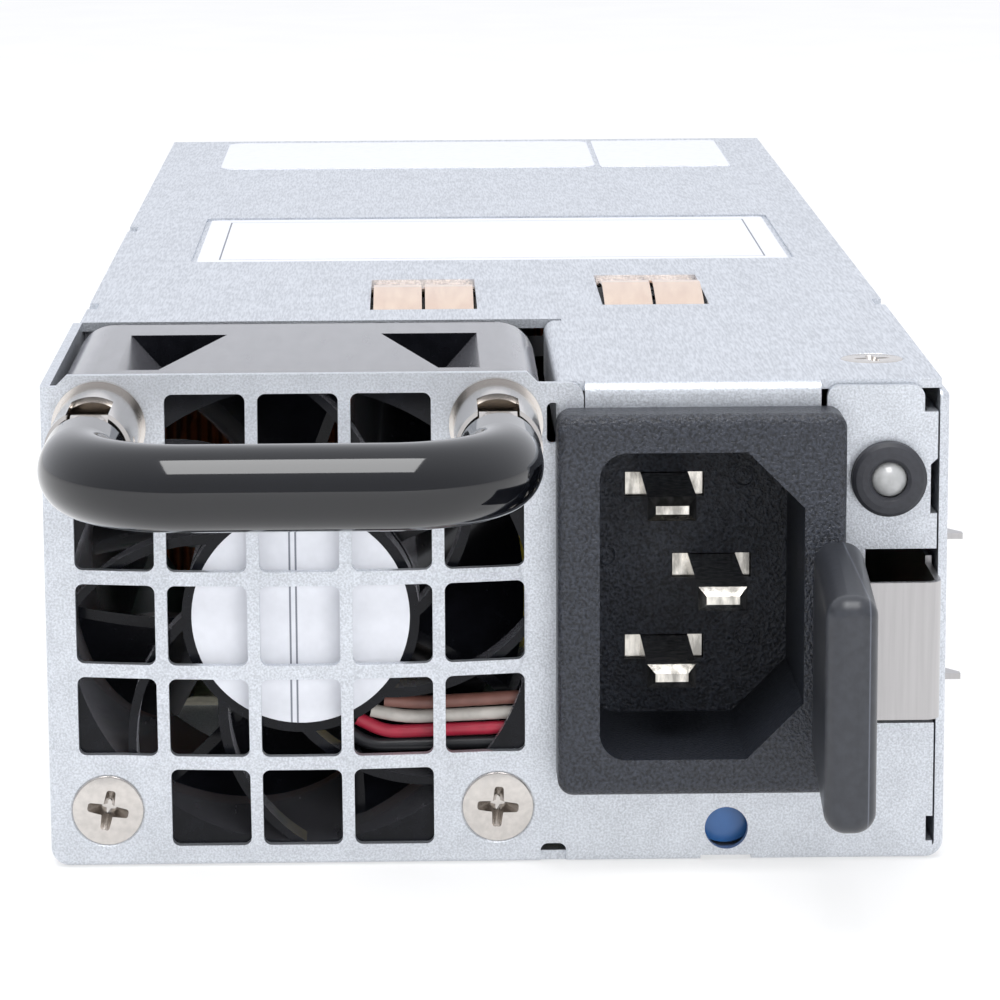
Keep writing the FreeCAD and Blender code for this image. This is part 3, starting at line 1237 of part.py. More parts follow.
def latch_spring():
    """Flat spring: a leaf inside the side wall, round the corner and into the grip."""
    spring = Body("latch_spring")
    half = p.latch_inner / 2
    core = core_profile()
    spring.pad("XY", p.latch_z - half, p.latch_z + half, polygon(
        (LEAF_OUT, LATCH_ROOT_Y + 3), (LEAF_OUT, STRIP_FRONT), core[0], core[1], core[2],
        core[3], (core[3][0], STRIP_BACK), (LEAF_IN, STRIP_BACK), (LEAF_IN, LATCH_ROOT_Y + 3)))
    spring.dress("Fillet", 1.3, runs_along("z", x=(LEAF_OUT,), y=(STRIP_FRONT,)))
    spring.dress("Fillet", 0.8, runs_along("z", x=(LEAF_IN,), y=(STRIP_BACK,)))
    # the strip is narrower outside the case
    strip = p.latch_strip / 2
    for low, high in ((p.latch_z - half, p.latch_z - strip), (p.latch_z + strip, p.latch_z + half)):
        spring.pocket("XY", low, high, rectangle(
            p.grip_x - 3, CORE_FRONT, LEAF_OUT, FRONT + 2))
    # catch teeth: tabs folded out from the leaf's two edges
    for side in (-1, 1):
        low = p.latch_z + half * side - p.latch_steel * (side + 1) / 2
        front = FRONT + p.tooth_depth
        tip = RIGHT + p.tooth_reach
        spring.pad("XY", low, low + p.latch_steel, polygon(
            (LEAF_IN + 0.1, front), (tip, front), (tip, front + 0.7), (tip - 0.5, front + 1.4),
            (RIGHT, front + p.tooth_length), (LEAF_IN + 0.1, front + p.tooth_length + 0.6)))
    spring.pocket("YZ", LEAF_IN, LEAF_OUT, *[
        disc(LATCH_ROOT_Y, z, RIVET_SHANK / 2 + 0.1) for z in RIVET_HEIGHTS])
    return node(spring)


def latch_grip():
    """Plastic grip moulded over the strip's end, rounded and leaning inboard."""
    grip = Body("latch_grip")
    loft = grip.body.newObject("PartDesign::AdditiveLoft", "latch_grip_loft")
    rear = grip.sketch("XZ", GRIP_BACK, [rounded(
        p.grip_x, p.latch_z, p.grip_width, p.grip_height, 1.7)])
    front = grip.sketch("XZ", GRIP_FRONT, [rounded(
        p.grip_x - p.grip_lean, p.latch_z, p.grip_width, p.grip_height, 1.7)])
    loft.Profile = rear
    loft.Sections = [front]
    grip.body.Tip = loft
    doc.recompute()
    grip.dress("Fillet", 1.5, lies_at("y", GRIP_FRONT))
    grip.dress("Fillet", 0.5, lies_at("y", GRIP_BACK))
    strip = p.latch_strip / 2
    grip.pocket("XY", p.latch_z - strip, p.latch_z + strip, polygon(*core_profile()))
    return node(grip)


def latch_rivets():
    """Two rivets that hold the spring's root to the side wall."""
    rivets = []
    for z in RIVET_HEIGHTS:
        head = rod("rivet_head", "x", LEAF_IN - 0.9, LATCH_ROOT_Y, z, size(1.9), size(0.7))
        shank = rod("rivet_shank", "x", LEAF_IN - 0.25, LATCH_ROOT_Y, z, RIVET_SHANK / 2,
                    RIGHT - LEAF_IN + 0.25)
        rivets.append(fused("latch_rivet", [head, shank]))
    return node(group("latch_rivets", rivets))


def cover_screws():
    """Countersunk screws: one on top at the front, one low on each side at the rear."""
    grip = p.screw_shank / 2 - 0.2
    point = FLUSH_HEAD - p.steel
    screws = [fused("top_screw", [
        taper("top_screw_head", "z", TOP_SCREW_X, TOP_SCREW_Y, UNDER_COVER,
              point, FLUSH_HEAD, p.steel),
        rod("top_screw_stem", "z", TOP_SCREW_X, TOP_SCREW_Y, UNDER_COVER - 4, grip, 4.1)])]
    screws.append(fused("right_screw", [
        taper("right_screw_head", "x", INNER_RIGHT, SIDE_SCREW_Y, SIDE_SCREW_Z,
              point, FLUSH_HEAD, p.steel),
        rod("right_screw_stem", "x", INNER_RIGHT - 2.4, SIDE_SCREW_Y, SIDE_SCREW_Z, grip, 2.5)]))
    screws.append(fused("left_screw", [
        taper("left_screw_head", "x", LEFT, SIDE_SCREW_Y, SIDE_SCREW_Z,
              FLUSH_HEAD, point, p.steel),
        rod("left_screw_stem", "x", INNER_LEFT - 0.1, SIDE_SCREW_Y, SIDE_SCREW_Z, grip, 2.5)]))
    return node(group("cover_screws", screws))


# ---------------------------------------------------------------- boards

BOARD_SPLIT = FRONT + p.board_front
BOARD_REAR = REAR - 2
TONGUE_END = REAR + p.tongue_reach
KEY_X = p.contact_pitch * 5
# x and depth behind the plate
STANDOFFS = ((-31, 55.5), (30, 62), (-30, 172), (30, 174), (12.5, 46))


def main_board():
    """Board with a narrow arm beside the fan and a bevelled edge connector tongue."""
    board = Body("main_board")
    half, tongue = p.board_width / 2, p.tongue_width / 2
    board.pad("XY", p.board_z, BOARD_TOP, polygon(
        (-half, BOARD_SPLIT), (7, BOARD_SPLIT), (7, FRONT + 31), (half, FRONT + 31),
        (half, BOARD_REAR), (tongue, BOARD_REAR), (tongue, TONGUE_END),
        (KEY_X + 0.9, TONGUE_END), (KEY_X + 0.9, TONGUE_END - 7), (KEY_X - 0.9, TONGUE_END - 7),
        (KEY_X - 0.9, TONGUE_END), (-tongue, TONGUE_END), (-tongue, BOARD_REAR),
        (-half, BOARD_REAR)))
    board.dress("Chamfer", 0.4, lies_at("y", TONGUE_END))
    board.pocket("XY", p.board_z, BOARD_TOP, *[
        disc(x, FRONT + depth, p.screw_hole / 2) for x, depth in STANDOFFS])
    return node(board)


def edge_contacts():
    """Gold pads on both faces of the tongue; two pads make way for the key notch."""
    pads = []
    middle = (float(p.contact_count) - 1) / 2
    for number in range(int(float(p.contact_count))):
        x = p.contact_pitch * (number - middle)
        if abs(float(x - KEY_X)) < float(p.contact_pitch) * 0.9:
            continue
        for z in (p.board_z - 0.06, BOARD_TOP):
            pads.append(block("contact", x - 0.65, TONGUE_END - 8, z, size(1.3), size(7), 0.06))
    return node(group("edge_contacts", pads))


def supports():
    """Insulating sheet, threaded pillars and the board's screws."""
    sheet_thick = size(0.3)
    insulator = Body("insulating_sheet")
    insulator.pad("XY", p.steel, p.steel + sheet_thick, rectangle(
        -p.board_width / 2, BOARD_SPLIT, p.board_width / 2, REAR - 8))
    insulator.pocket("XY", p.steel, p.steel + sheet_thick, *[
        disc(x, FRONT + depth, size(3.2)) for x, depth in STANDOFFS if depth > 52])
    node(insulator)
    pillars, screws = [], []
    for x, depth in STANDOFFS:
        y = FRONT + depth
        pillar = rod("pillar_rod", "z", x, y, p.steel, size(2.8), p.board_z - p.steel)
        bore = rod("pillar_bore", "z", x, y, p.steel + 0.8, p.screw_shank / 2 - 0.2,
                   p.board_z - p.steel)
        pillars.append(cut("pillar", pillar, [bore]))
        head = rod("board_screw_head", "z", x, y, BOARD_TOP, size(2.8), size(1.9))
        shank = rod("board_screw_shank", "z", x, y, p.board_z - 3, p.screw_shank / 2 - 0.25,
                    p.board_thick + 3.1)
        screws.append(fused("board_screw", [head, shank]))
    node(group("standoffs", pillars))
    node(group("board_screws", screws))


# ---------------------------------------------------------------- power parts

def wound_ring(name, x, depth, radius, tube):
    """A toroidal choke that stands on edge on a small base."""
    y = FRONT + depth
    outer, inner, soft = radius + tube, radius - tube, tube * 0.5
    coil = Body(name + "_coil")
    coil.spin("Revolution", size(x), BOARD_TOP + 1 + outer, polygon(
        (y - tube, inner + soft), (y - tube, outer - soft), (y - tube + soft, outer),
        (y + tube - soft, outer), (y + tube, outer - soft), (y + tube, inner + soft),
        (y + tube - soft, inner), (y - tube + soft, inner)))
    base = block(name + "_base", size(x) - tube - 1, y - tube * 0.8, BOARD_TOP,
                 size(tube) * 2 + 2, size(tube) * 1.6, 2)
    return fused(name, [base, coil.body])


def can(name, x, depth, radius, length):
    """A lying electrolytic capacitor with its crimped neck."""
    z = BOARD_TOP + radius
    y = FRONT + depth
    front = rod(name + "_top", "y", x, y, z, radius, size(3.4))
    neck = rod(name + "_neck", "y", x, y + 3.4, z, size(radius) - 0.7, size(1))
    shell = rod(name + "_shell", "y", x, y + 4.4, z, radius, size(length) - 4.4)
    return fused(name, [front, neck, shell])


def wound_core(name, x, depth, width, length, height):
    """Ferrite core halves round a winding, on a bobbin with a pinned foot."""
    y = FRONT + depth
    z = BOARD_TOP
    foot = block(name + "_foot", x - width / 2, y, z, width, length, 2)
    low = block(name + "_core_low", x - width * 0.5, y + length * 0.2, z + 2,
                width, length * 0.6, 4)
    high = block(name + "_core_high", x - width * 0.5, y + length * 0.2, z + height - 4,
                 width, length * 0.6, 4)
    left = block(name + "_leg_left", x - width * 0.5, y + length * 0.2, z + 5,
                 width * 0.14, length * 0.6, height - 8)
    right = block(name + "_leg_right", x + width * 0.36, y + length * 0.2, z + 5,
                  width * 0.14, length * 0.6, height - 8)
    winding = rod(name + "_winding", "z", x, y + length / 2, z + 5, length * 0.42, height - 8)
    return fused(name, [foot, low, high, left, right, winding])


def heatsink(name, x, depth, length, height, side):
    """Upright aluminium plate with short fins along it."""
    sink = Body(name)
    y = FRONT + depth
    corners = [(x, BOARD_TOP), (x + side * 2.5, BOARD_TOP)]
    count = 6
    for number in range(count):
        z = BOARD_TOP + 3 + (height - 4) / count * number
        corners += [(x + side * 2.5, z), (x + side * 7, z), (x + side * 7, z + 1.2),
                    (x + side * 2.5, z + 1.2)]
    corners += [(x + side * 2.5, BOARD_TOP + height), (x, BOARD_TOP + height)]
    sink.pad("XZ", y, y + length, polygon(*corners))
    return sink.body


def transistors(name, x, depths, thick):
    """Flat packages that lie against a heatsink, legs down in the board."""
    parts = []
    for depth in depths:
        y = FRONT + depth
        case = block(name + "_case", x, y, BOARD_TOP + 8, thick, 15.5, 19)
        legs = [block(name + "_leg", x + thick / 2 - 0.4, y + 2 + 5.2 * number, BOARD_TOP,
                      0.8, 1.2, 8.2) for number in range(3)]
        parts.append(fused(name, [case] + legs))
    return parts


def power_parts():
    node(group("line_chokes", [wound_ring("line_choke", -19.5, 62, 8.2, 4.6),
                               wound_ring("second_line_choke", -19.5, 82, 8.2, 4.6)]))
    film = [block("film_capacitor", -4, FRONT + depth, BOARD_TOP, 9, 18, 16)
            for depth in (54, 76)]
    node(group("film_capacitors", film))
    node(group("bulk_capacitors", [can("bulk_capacitor", 20, 66, 12, 45),
                                   can("second_bulk_capacitor", 20, 114, 12, 34)]))
    discs = [rod("safety_disc", "y", x, FRONT + 2, 4, size(3), size(3.2))
             for x in (SIGHT_X, p.inlet_x - 7)]
    node(group("safety_capacitors", discs))
    node(block("fuse", 17, FRONT + 50.5, BOARD_TOP, 5, 11, 8))
    node(block("inrush_relay", 26.5, FRONT + 44, BOARD_TOP, 7, 15, 10))
    node(wound_core("boost_choke", size(-8), size(98), size(22), size(20), size(24)))
    node(wound_core("main_transformer", size(-14.6), size(122), size(27), size(26), size(27)))
    node(heatsink("primary_heatsink", size(-33.6), 98, 22, 27, 1))
    node(heatsink("secondary_heatsink", size(6.5), 122, 26, 27, -1))
    node(group("primary_transistors",
               transistors("primary_transistor", size(-26.4), (100,), 4)))
    polymer = [rod("polymer_can", "z", x, FRONT + depth, BOARD_TOP, size(4), size(13))
               for x in (-29, -20, -11, -2) for depth in (154, 163.5)]
    node(group("output_capacitors", polymer))
    node(wound_ring("output_choke", 14, 158, 6.4, 4.2))
    node(block("bridge_rectifier", 3.6, FRONT + 98, BOARD_TOP + 1, 4, 14, 19))
    control = block("control_board_sheet", 33.2, FRONT + 112, BOARD_TOP, 1.2, 56, 24)
    chips = [block("control_chip", 32.2, FRONT + 118 + 14 * number, BOARD_TOP + 8, 1.1, 7, 7)
             for number in range(3)]
    node(fused("control_board", [control] + chips))
    bar = block("output_bar_plate", -24, FRONT + 172.5, BOARD_TOP, 40, 2, 12)
    node(bar, "output_bar")


# ---------------------------------------------------------------- leads

def fan_leads():
    """Four leads from the motor cup, out of the frame's mouth and back to the board."""
    plug_x = 10
    side_x = FAN_X + p.fan_width / 2 + 1.3
    y = FAN_FRONT + 1.7
    plug_y = FRONT + 54
    # where each leaves the cup, how far outside it, and its knee from the fan's centre
    routes = (("brown", -48, 0.35, 9.5, -7.75), ("grey", -56, 0.35, 8.5, -8.95),
              ("red", -63.5, 0.35, 6.8, -10.2), ("black", -71, 0.7, 5.5, -11.3))
    for number, (colour, angle, outside, knee_x, knee_z) in enumerate(routes):
        row = LEAD_PITCH * (1.5 - number)
        z = LEADS_Z + row
        plug_z = BOARD_TOP + 5.7 + row
        reach = float(MOTOR_RADIUS) + outside
        out = math.radians(angle)
        start = (FAN_X + reach * math.cos(out), y, FAN_Z + reach * math.sin(out))
        node(feature("fan_lead_" + colour, cord([
            start, (FAN_X + knee_x, y + 0.02, FAN_Z + knee_z),
            (side_x, y, z), (side_x, y + 6, z), (side_x, y + 19, z - 0.6),
            (side_x + 0.4, y + 32, z), (plug_x, plug_y - 8, plug_z),
            (plug_x, plug_y - p.fit_gap, plug_z)], LEAD_DIAMETER)))
    return node(block("fan_connector", plug_x - 3.6, plug_y, BOARD_TOP, 7.2, 5, 8.4))


def inlet_leads():
    """Three insulated leads from the inlet's tabs down to the board's arm."""
    back = TAB_END + p.fit_gap
    ends = (("line", LINE_X, p.inlet_z + p.pin_spacing / 2, 11),
            ("neutral", LINE_X, p.inlet_z - p.pin_spacing / 2, 17.5),
            ("earth", EARTH_X, p.inlet_z, 24))
    for name, x, z, foot in ends:
        node(feature("inlet_lead_" + name, cord([
            (x, back, z), (x, back + 6, z), (foot, back + 12, z * 0.5 + 6),
            (foot, back + 12, BOARD_TOP + p.fit_gap)], 2.2)))


def labels():
    """Bare label sheets in the cover's pressed field and at its rear."""
    rating = Body("rating_label")
    field = TOP - p.label_recess
    rating.pad("XY", field, field + p.label_thick, rounded(
        LABEL_X, LABEL_Y, p.label_width, p.label_length, 0.6))
    node(rating)
    rear = Body("rear_label")
    rear.pad("XY", TOP, TOP + p.label_thick, rounded(-7.2, FRONT + 168, 43.8, 28, 2))
    second = Body("small_label")
    second.pad("XY", TOP, TOP + p.label_thick, rounded(22.9, FRONT + 168, 15.2, 28, 0.6))
    node(group("rear_labels", [rear.body, second.body]))


# ---------------------------------------------------------------- whole

def main():
    chassis_tray()
    top_cover()
    rear_panel()
    grounding_fingers()
    fan_frame()
    fan_rotor()
    fan_motor()
    fan_screws()
    handle_ferrules()
    handle_pins()
    handle_screws()
    handle_wire()
    handle_sleeve()
    inlet_housing()
    inlet_blades()
    lamp()
    latch_spring()
    latch_grip()
    latch_rivets()
    cover_screws()
    main_board()
    edge_contacts()
    supports()
    power_parts()
    fan_leads()
    inlet_leads()
    labels()
    check_and_write()


def check_and_write():
    """Refuses any failed object, then writes one STEP file per sub-part."""
    doc.recompute()
    for thing in doc.Objects:
        if "Invalid" in thing.State or "Error" in thing.State:
            raise ValueError("%s failed: %s" % (thing.Name, thing.State))
    os.makedirs("parts", exist_ok=True)
    for thing in NODES:
        shape = thing.Shape
        if shape.isNull() or not shape.isValid():
            raise ValueError("%s has no valid shape" % thing.Label)
        shape.exportStep("parts/%s.step" % thing.Label)
        print(thing.Label, len(shape.Solids), round(shape.Volume, 1))


main()
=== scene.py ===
"""Looks of a hot swap server power supply, laid out as an add-on and run as a script."""
import math

import bmesh
import bpy
from bpy.props import FloatProperty, FloatVectorProperty
from mathutils import Matrix, Vector


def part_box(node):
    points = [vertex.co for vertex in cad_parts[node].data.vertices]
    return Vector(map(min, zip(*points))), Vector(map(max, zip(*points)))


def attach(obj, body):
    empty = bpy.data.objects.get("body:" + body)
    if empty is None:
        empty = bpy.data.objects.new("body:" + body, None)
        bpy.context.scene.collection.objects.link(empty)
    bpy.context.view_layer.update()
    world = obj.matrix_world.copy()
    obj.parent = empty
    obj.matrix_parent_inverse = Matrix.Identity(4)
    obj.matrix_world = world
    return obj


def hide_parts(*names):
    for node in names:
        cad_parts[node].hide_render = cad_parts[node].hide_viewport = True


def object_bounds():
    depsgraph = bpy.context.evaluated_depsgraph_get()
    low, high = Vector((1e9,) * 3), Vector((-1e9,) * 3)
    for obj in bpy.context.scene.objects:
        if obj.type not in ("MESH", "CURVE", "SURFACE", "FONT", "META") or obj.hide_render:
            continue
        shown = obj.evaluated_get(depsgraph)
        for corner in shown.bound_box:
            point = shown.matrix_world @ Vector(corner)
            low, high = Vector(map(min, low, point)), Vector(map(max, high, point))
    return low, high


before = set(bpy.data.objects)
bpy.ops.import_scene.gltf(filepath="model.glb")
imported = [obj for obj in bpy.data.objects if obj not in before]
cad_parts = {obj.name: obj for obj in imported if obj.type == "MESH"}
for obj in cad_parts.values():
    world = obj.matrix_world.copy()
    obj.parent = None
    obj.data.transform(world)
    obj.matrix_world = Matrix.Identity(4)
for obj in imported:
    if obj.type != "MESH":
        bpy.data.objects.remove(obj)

bl_info = {
    "name": "Server power supply",
    "version": (1, 0, 0),
    "blender": (4, 5, 0),
    "location": "3D View > Sidebar > Supply",
    "description": "Stage, finishes and fine pieces of a hot swap power supply",
    "category": "Object",
}

MM = 0.001
CAD_BOX = [list(corner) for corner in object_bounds()]


def linear(code):
    """A linear colour with alpha from an sRGB hex value."""
    channels = [int(code[i:i + 2], 16) / 255 for i in (0, 2, 4)]
    return [c / 12.92 if c <= 0.04045 else ((c + 0.055) / 1.055) ** 2.4 for c in channels] + [1.0]


def dimmed(tone, factor):
    """A colour made darker or, above one, lighter."""
    return [min(1.0, c * factor) for c in tone[:3]] + [1.0]


def colour(name, code, description):
    return FloatVectorProperty(name=name, description=description, subtype="COLOR", size=4,
                               min=0, max=1, default=linear(code))


def length(name, millimetres, description):
    return FloatProperty(name=name, description=description, default=millimetres * MM,
                         unit="LENGTH", precision=5)


def share(name, value, description):
    return FloatProperty(name=name, description=description, default=value, min=0, max=1,
                         subtype="FACTOR")


class SupplyColours(bpy.types.PropertyGroup):
    """Colours of the finishes that show."""

    zinc: colour("Zinc", "D2D6DC", "Galvanised sheet of the case")
    nickel: colour("Nickel", "D6D1CC", "Screws and handle sockets")
    stainless: colour("Stainless", "BDBBBB", "Spring strip of the latch")
    copper: colour("Copper", "FFE4D0", "Grounding fingers")
    housing: colour("Inlet plastic", "262930", "Textured moulding of the inlet")
    sleeve: colour("Sleeve", "06070B", "Glossy tube on the handle")
    grip: colour("Grip", "2B2D32", "Satin grip of the latch")
    nylon: colour("Fan plastic", "0D0E12", "Fan frame and rotor")
    film: colour("Label film", "D8DAE0", "Bare labels")
    board: colour("Solder mask", "0F4A2A", "Printed boards")
    blue: colour("Blue epoxy", "31609A", "Coat of the disc capacitors")


class SupplySizes(bpy.types.PropertyGroup):
    """Sizes of the fine pieces and patterns."""

    head_depth: length("Head depth", 0.9, "Depth of a flat screw head")
    head_rim: length("Head rim", 0.16, "Rounding of a screw head's rim")
    shank: length("Shank", 2.5, "Shank modelled under a head")
    recess_width: length("Recess width", 0.98, "Across one arm of a cross recess")
    recess_reach: length("Recess reach", 1.8, "From a screw's centre to the end of an arm")
    recess_depth: length("Recess depth", 1.5, "Depth of a cross recess")
    mark_radius: length("Mark radius", 0.9, "Radius of an ejector pin's mark")
    mark_height: length("Mark height", 0.14, "How far a mark's rim stands proud")
    mark_rim: length("Mark rim", 0.12, "Width of a mark's rim")
    mark_slope: length("Mark slope", 0.08, "Width of the slope inside the rim")
    recess_floor: length("Recess floor", -80.0, "Place of the floor of the inlet's recess")
    fleck: length("Zinc fleck", 0.17, "Typical bright fleck of the zinc coat")
    thread: length("Thread", 0.29, "Pitch drawn in the sockets' bores")
    rule_width: length("Rule width", 0.16, "Printed rules on the labels")
    rule_gap: length("Rule gap", 0.5, "Between the two rules of the hub label")
    rule_inset: length("Rule inset", 2.2, "From the rating label's edge to its rules")


class SupplyStage(bpy.types.PropertyGroup):
    """Camera and light."""

    lens: FloatProperty(name="Lens", description="Focal length in millimetres on a 36 mm sensor",
                        default=150.0)
    camera: FloatVectorProperty(name="Camera", description="Place of the camera",
                                subtype="XYZ", unit="LENGTH", default=(-0.0063, -0.4238, 0.0949))
    pitch: FloatProperty(name="Pitch", description="Tilt below level", subtype="ANGLE",
                         default=math.radians(11.01))
    yaw: FloatProperty(name="Yaw", description="Turn to the right", subtype="ANGLE",
                       default=math.radians(1.14))
    roll: FloatProperty(name="Roll", description="Roll of the camera", subtype="ANGLE",
                        default=math.radians(-0.29))
    floor_glow: share("Floor glow", 0.55, "Share of plain white in the floor that is seen")
    tent_low: share("Tent low", 0.45, "Brightness of the tent in front and below")
    tent_high: share("Tent high", 0.98, "Brightness of the tent above and behind")
    tent_gloss: share("Tent in gloss", 0.22, "Share of plain white in the tent that gloss shows")


# ---------------------------------------------------------------- finishes

def add_node(tree, kind, settings=None, links=None, stops=()):
    """One shader node.

    Settings are sockets or attributes, links its linked inputs, each from a socket or from a
    node's first output, and stops the places and colours of a colour ramp.
    """
    made = tree.nodes.new("ShaderNode" + kind)
    for key, value in (settings or {}).items():
        if isinstance(key, int) or key in made.inputs.keys():
            made.inputs[key].default_value = value
        else:
            setattr(made, key, value)
    for key, source in (links or {}).items():
        tree.links.new(getattr(source, "outputs", [source])[0], made.inputs[key])
    for number, (place, tone) in enumerate(stops):
        made.color_ramp.elements[number].position = place
        made.color_ramp.elements[number].color = tone
    return made


def fresh(name):
    """An empty material and its tree."""
    made = bpy.data.materials.new(name)
    made.use_nodes = True
    made.node_tree.nodes.clear()
    return made, made.node_tree


def galvanised_steel(name, streak=1.0):
    """Continuously galvanised sheet: pale zinc with fine bright flecks and faint clouds.

    The coat is rolled after dipping, so its crystals are too small to see one by one and only
    sparkle. A streak above 1 draws the flecks out along the case, as brushing does.
    """
    made, tree = fresh(name)
    zinc = bpy.context.scene.supply_colours.zinc
    fleck = bpy.context.scene.supply_sizes.fleck
    place = add_node(tree, "TexCoord").outputs["Object"]
    drawn = add_node(tree, "Mapping", {"Scale": (1, 1 / streak, 1)}, {"Vector": place})
    flecks = add_node(tree, "TexNoise", {"Scale": 1 / fleck, "Detail": 2.0}, {"Vector": drawn})
    # crystals are a few hundredths of a millimetre; a fleck is a cluster of them that shows
    sparkle = add_node(tree, "ValToRGB", links={"Fac": flecks},
                       stops=((0.37, dimmed(zinc, 0.79)), (0.65, dimmed(zinc, 1.2))))
    # the coat's thickness drifts over some millimetres
    clouds = add_node(tree, "TexNoise", {"Scale": 1 / (fleck * 16), "Detail": 4.0},
                      {"Vector": place})
    drift = add_node(tree, "ValToRGB", links={"Fac": clouds},
                     stops=((0.38, dimmed(zinc, 0.9)), (0.62, dimmed(zinc, 1.06))))
    mixed = add_node(tree, "Mix", {"data_type": "RGBA", 0: 0.4},
                     {6: sparkle.outputs[0], 7: drift.outputs[0]})
    matt = add_node(tree, "MapRange", {"From Min": 0.35, "From Max": 0.65, "To Min": 0.5,
                                       "To Max": 0.34}, {"Value": flecks})
    relief = add_node(tree, "Bump", {"Strength": 0.7, "Distance": 0.05 * MM}, {"Height": flecks})
    shader = add_node(tree, "BsdfPrincipled", {"Metallic": 0.85}, {
        "Base Color": mixed.outputs[2], "Roughness": matt, "Normal": relief})
    add_node(tree, "OutputMaterial", links={"Surface": shader})
    return made


def metal(name, tone, rough, grain, stretch=(1, 1, 1), strength=0.2, uneven=0.08):
    """Bare or plated metal with a worked surface; grain is in millimetres, drawn out by stretch."""
    made, tree = fresh(name)
    place = add_node(tree, "TexCoord").outputs["Object"]
    drawn = add_node(tree, "Mapping", {"Scale": stretch}, {"Vector": place})
    marks = add_node(tree, "TexNoise", {"Scale": 1 / (grain * MM), "Detail": 3.0},
                     {"Vector": drawn})
    matt = add_node(tree, "MapRange", {"To Min": rough * 0.8, "To Max": rough * 1.25},
                    {"Value": marks})
    shade = add_node(tree, "ValToRGB", links={"Fac": marks}, stops=(
        (0.35, dimmed(tone, 1 - uneven)), (0.65, dimmed(tone, 1 + uneven / 2))))
    relief = add_node(tree, "Bump", {"Strength": strength, "Distance": 0.03 * MM},
                      {"Height": marks})
    shader = add_node(tree, "BsdfPrincipled", {"Metallic": 1.0}, {
        "Base Color": shade, "Roughness": matt, "Normal": relief})
    add_node(tree, "OutputMaterial", links={"Surface": shader})
    return made


def threaded_nickel(name):
    """Turned and nickel plated sockets, bright outside; in the bore, painted shade with the thread
    painted in dark and pale bands.
    """
    made, tree = fresh(name)
    tone = bpy.context.scene.supply_colours.nickel
    low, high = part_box("handle_ferrules")
    middle, level = (low + high) / 2, (low.z + high.z) / 2
    bore = (high.z - low.z) / 2 * 0.74
    apart = (high.x - low.x) / 2 - (high.z - low.z) / 2
    place = add_node(tree, "TexCoord").outputs["Object"]
    parts = add_node(tree, "SeparateXYZ", links={"Vector": place}).outputs
    # the distance from the nearer socket's axis says which metal lies inside the bore, where shade
    # is painted
    side = add_node(tree, "Math", {"operation": "SUBTRACT", 1: middle.x}, {0: parts["X"]})
    mirrored = add_node(tree, "Math", {"operation": "ABSOLUTE"}, {0: side})
    across = add_node(tree, "Math", {"operation": "SUBTRACT", 1: apart}, {0: mirrored})
    rise = add_node(tree, "Math", {"operation": "SUBTRACT", 1: level}, {0: parts["Z"]})
    spot = add_node(tree, "CombineXYZ", links={"X": across, "Y": rise})
    radius = add_node(tree, "VectorMath", {"operation": "LENGTH"}, {0: spot})
    inside = add_node(tree, "Math", {"operation": "LESS_THAN", 1: bore},
                      {0: radius.outputs["Value"]})
    # the thread is painted as bands of shade and light, drawn at a pitch at which some turns show
    # in the short slot
    pitch = bpy.context.scene.supply_sizes.thread
    turns = add_node(tree, "TexWave", {"bands_direction": "Y", "Scale": math.pi / 10 / pitch},
                     {"Vector": place})
    # painted shade: the bore's dark colour, with the thread's ridges painted a little lighter
    thread = add_node(tree, "ValToRGB", links={"Fac": turns.outputs[1]},
                      stops=((0.2, linear("15110E")), (0.8, linear("6A6157"))))
    mixed = add_node(tree, "Mix", {"data_type": "RGBA", 6: tone},
                     {0: inside, 7: thread.outputs[0]})
    shader = add_node(tree, "BsdfPrincipled", {"Metallic": 1.0, "Roughness": 0.16},
                      {"Base Color": mixed.outputs[2]})
    add_node(tree, "OutputMaterial", links={"Surface": shader})
    return made


def moulded(name, tone, rough, grain, strength, depth=0.05, coat=0.0, speckle=0.1):
    """Moulded or dipped plastic: the tool's texture, whose tops rub a little lighter.

    Grain and depth are in millimetres; speckle is how much the tops and the hollows differ.
    """
    made, tree = fresh(name)
    place = add_node(tree, "TexCoord").outputs["Object"]
    texture = add_node(tree, "TexNoise", {"Scale": 1 / (grain * MM), "Detail": 2.0},
                       {"Vector": place})
    shade = add_node(tree, "ValToRGB", links={"Fac": texture}, stops=(
        (0.35, dimmed(tone, 1 - speckle)), (0.65, dimmed(tone, 1 + speckle))))
    relief = add_node(tree, "Bump", {"Strength": strength, "Distance": depth * MM},
                      {"Height": texture})
    shader = add_node(tree, "BsdfPrincipled", {
        "Roughness": rough, "Coat Weight": coat, "Coat Roughness": 0.05}, {
        "Base Color": shade, "Normal": relief})
    add_node(tree, "OutputMaterial", links={"Surface": shader})
    return made


def parted_plastic(name):
    """Satin vinyl grip, moulded in two halves: the tool's parting line shows as a pale hair."""
    made, tree = fresh(name)
    tone = bpy.context.scene.supply_colours.grip
    low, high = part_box("latch_grip")
    place = add_node(tree, "TexCoord").outputs["Object"]
    parts = add_node(tree, "SeparateXYZ", links={"Vector": place}).outputs
    line = add_node(tree, "Math", {"operation": "COMPARE", 1: low.x + (high.x - low.x) * 0.66,
                                   2: 0.06 * MM}, {0: parts["X"]})
    texture = add_node(tree, "TexNoise", {"Scale": 1 / (0.67 * MM), "Detail": 2.0},
                       {"Vector": place})
    shade = add_node(tree, "ValToRGB", links={"Fac": texture},
                     stops=((0.35, dimmed(tone, 0.88)), (0.65, dimmed(tone, 1.12))))
    parted = add_node(tree, "Mix", {"data_type": "RGBA", 7: dimmed(tone, 3)},
                      {0: line, 6: shade.outputs[0]})
    relief = add_node(tree, "Bump", {"Strength": 0.12, "Distance": 0.05 * MM},
                      {"Height": texture})
    shader = add_node(tree, "BsdfPrincipled", {"Roughness": 0.34}, {
        "Base Color": parted.outputs[2], "Normal": relief})
    add_node(tree, "OutputMaterial", links={"Surface": shader})
    return made


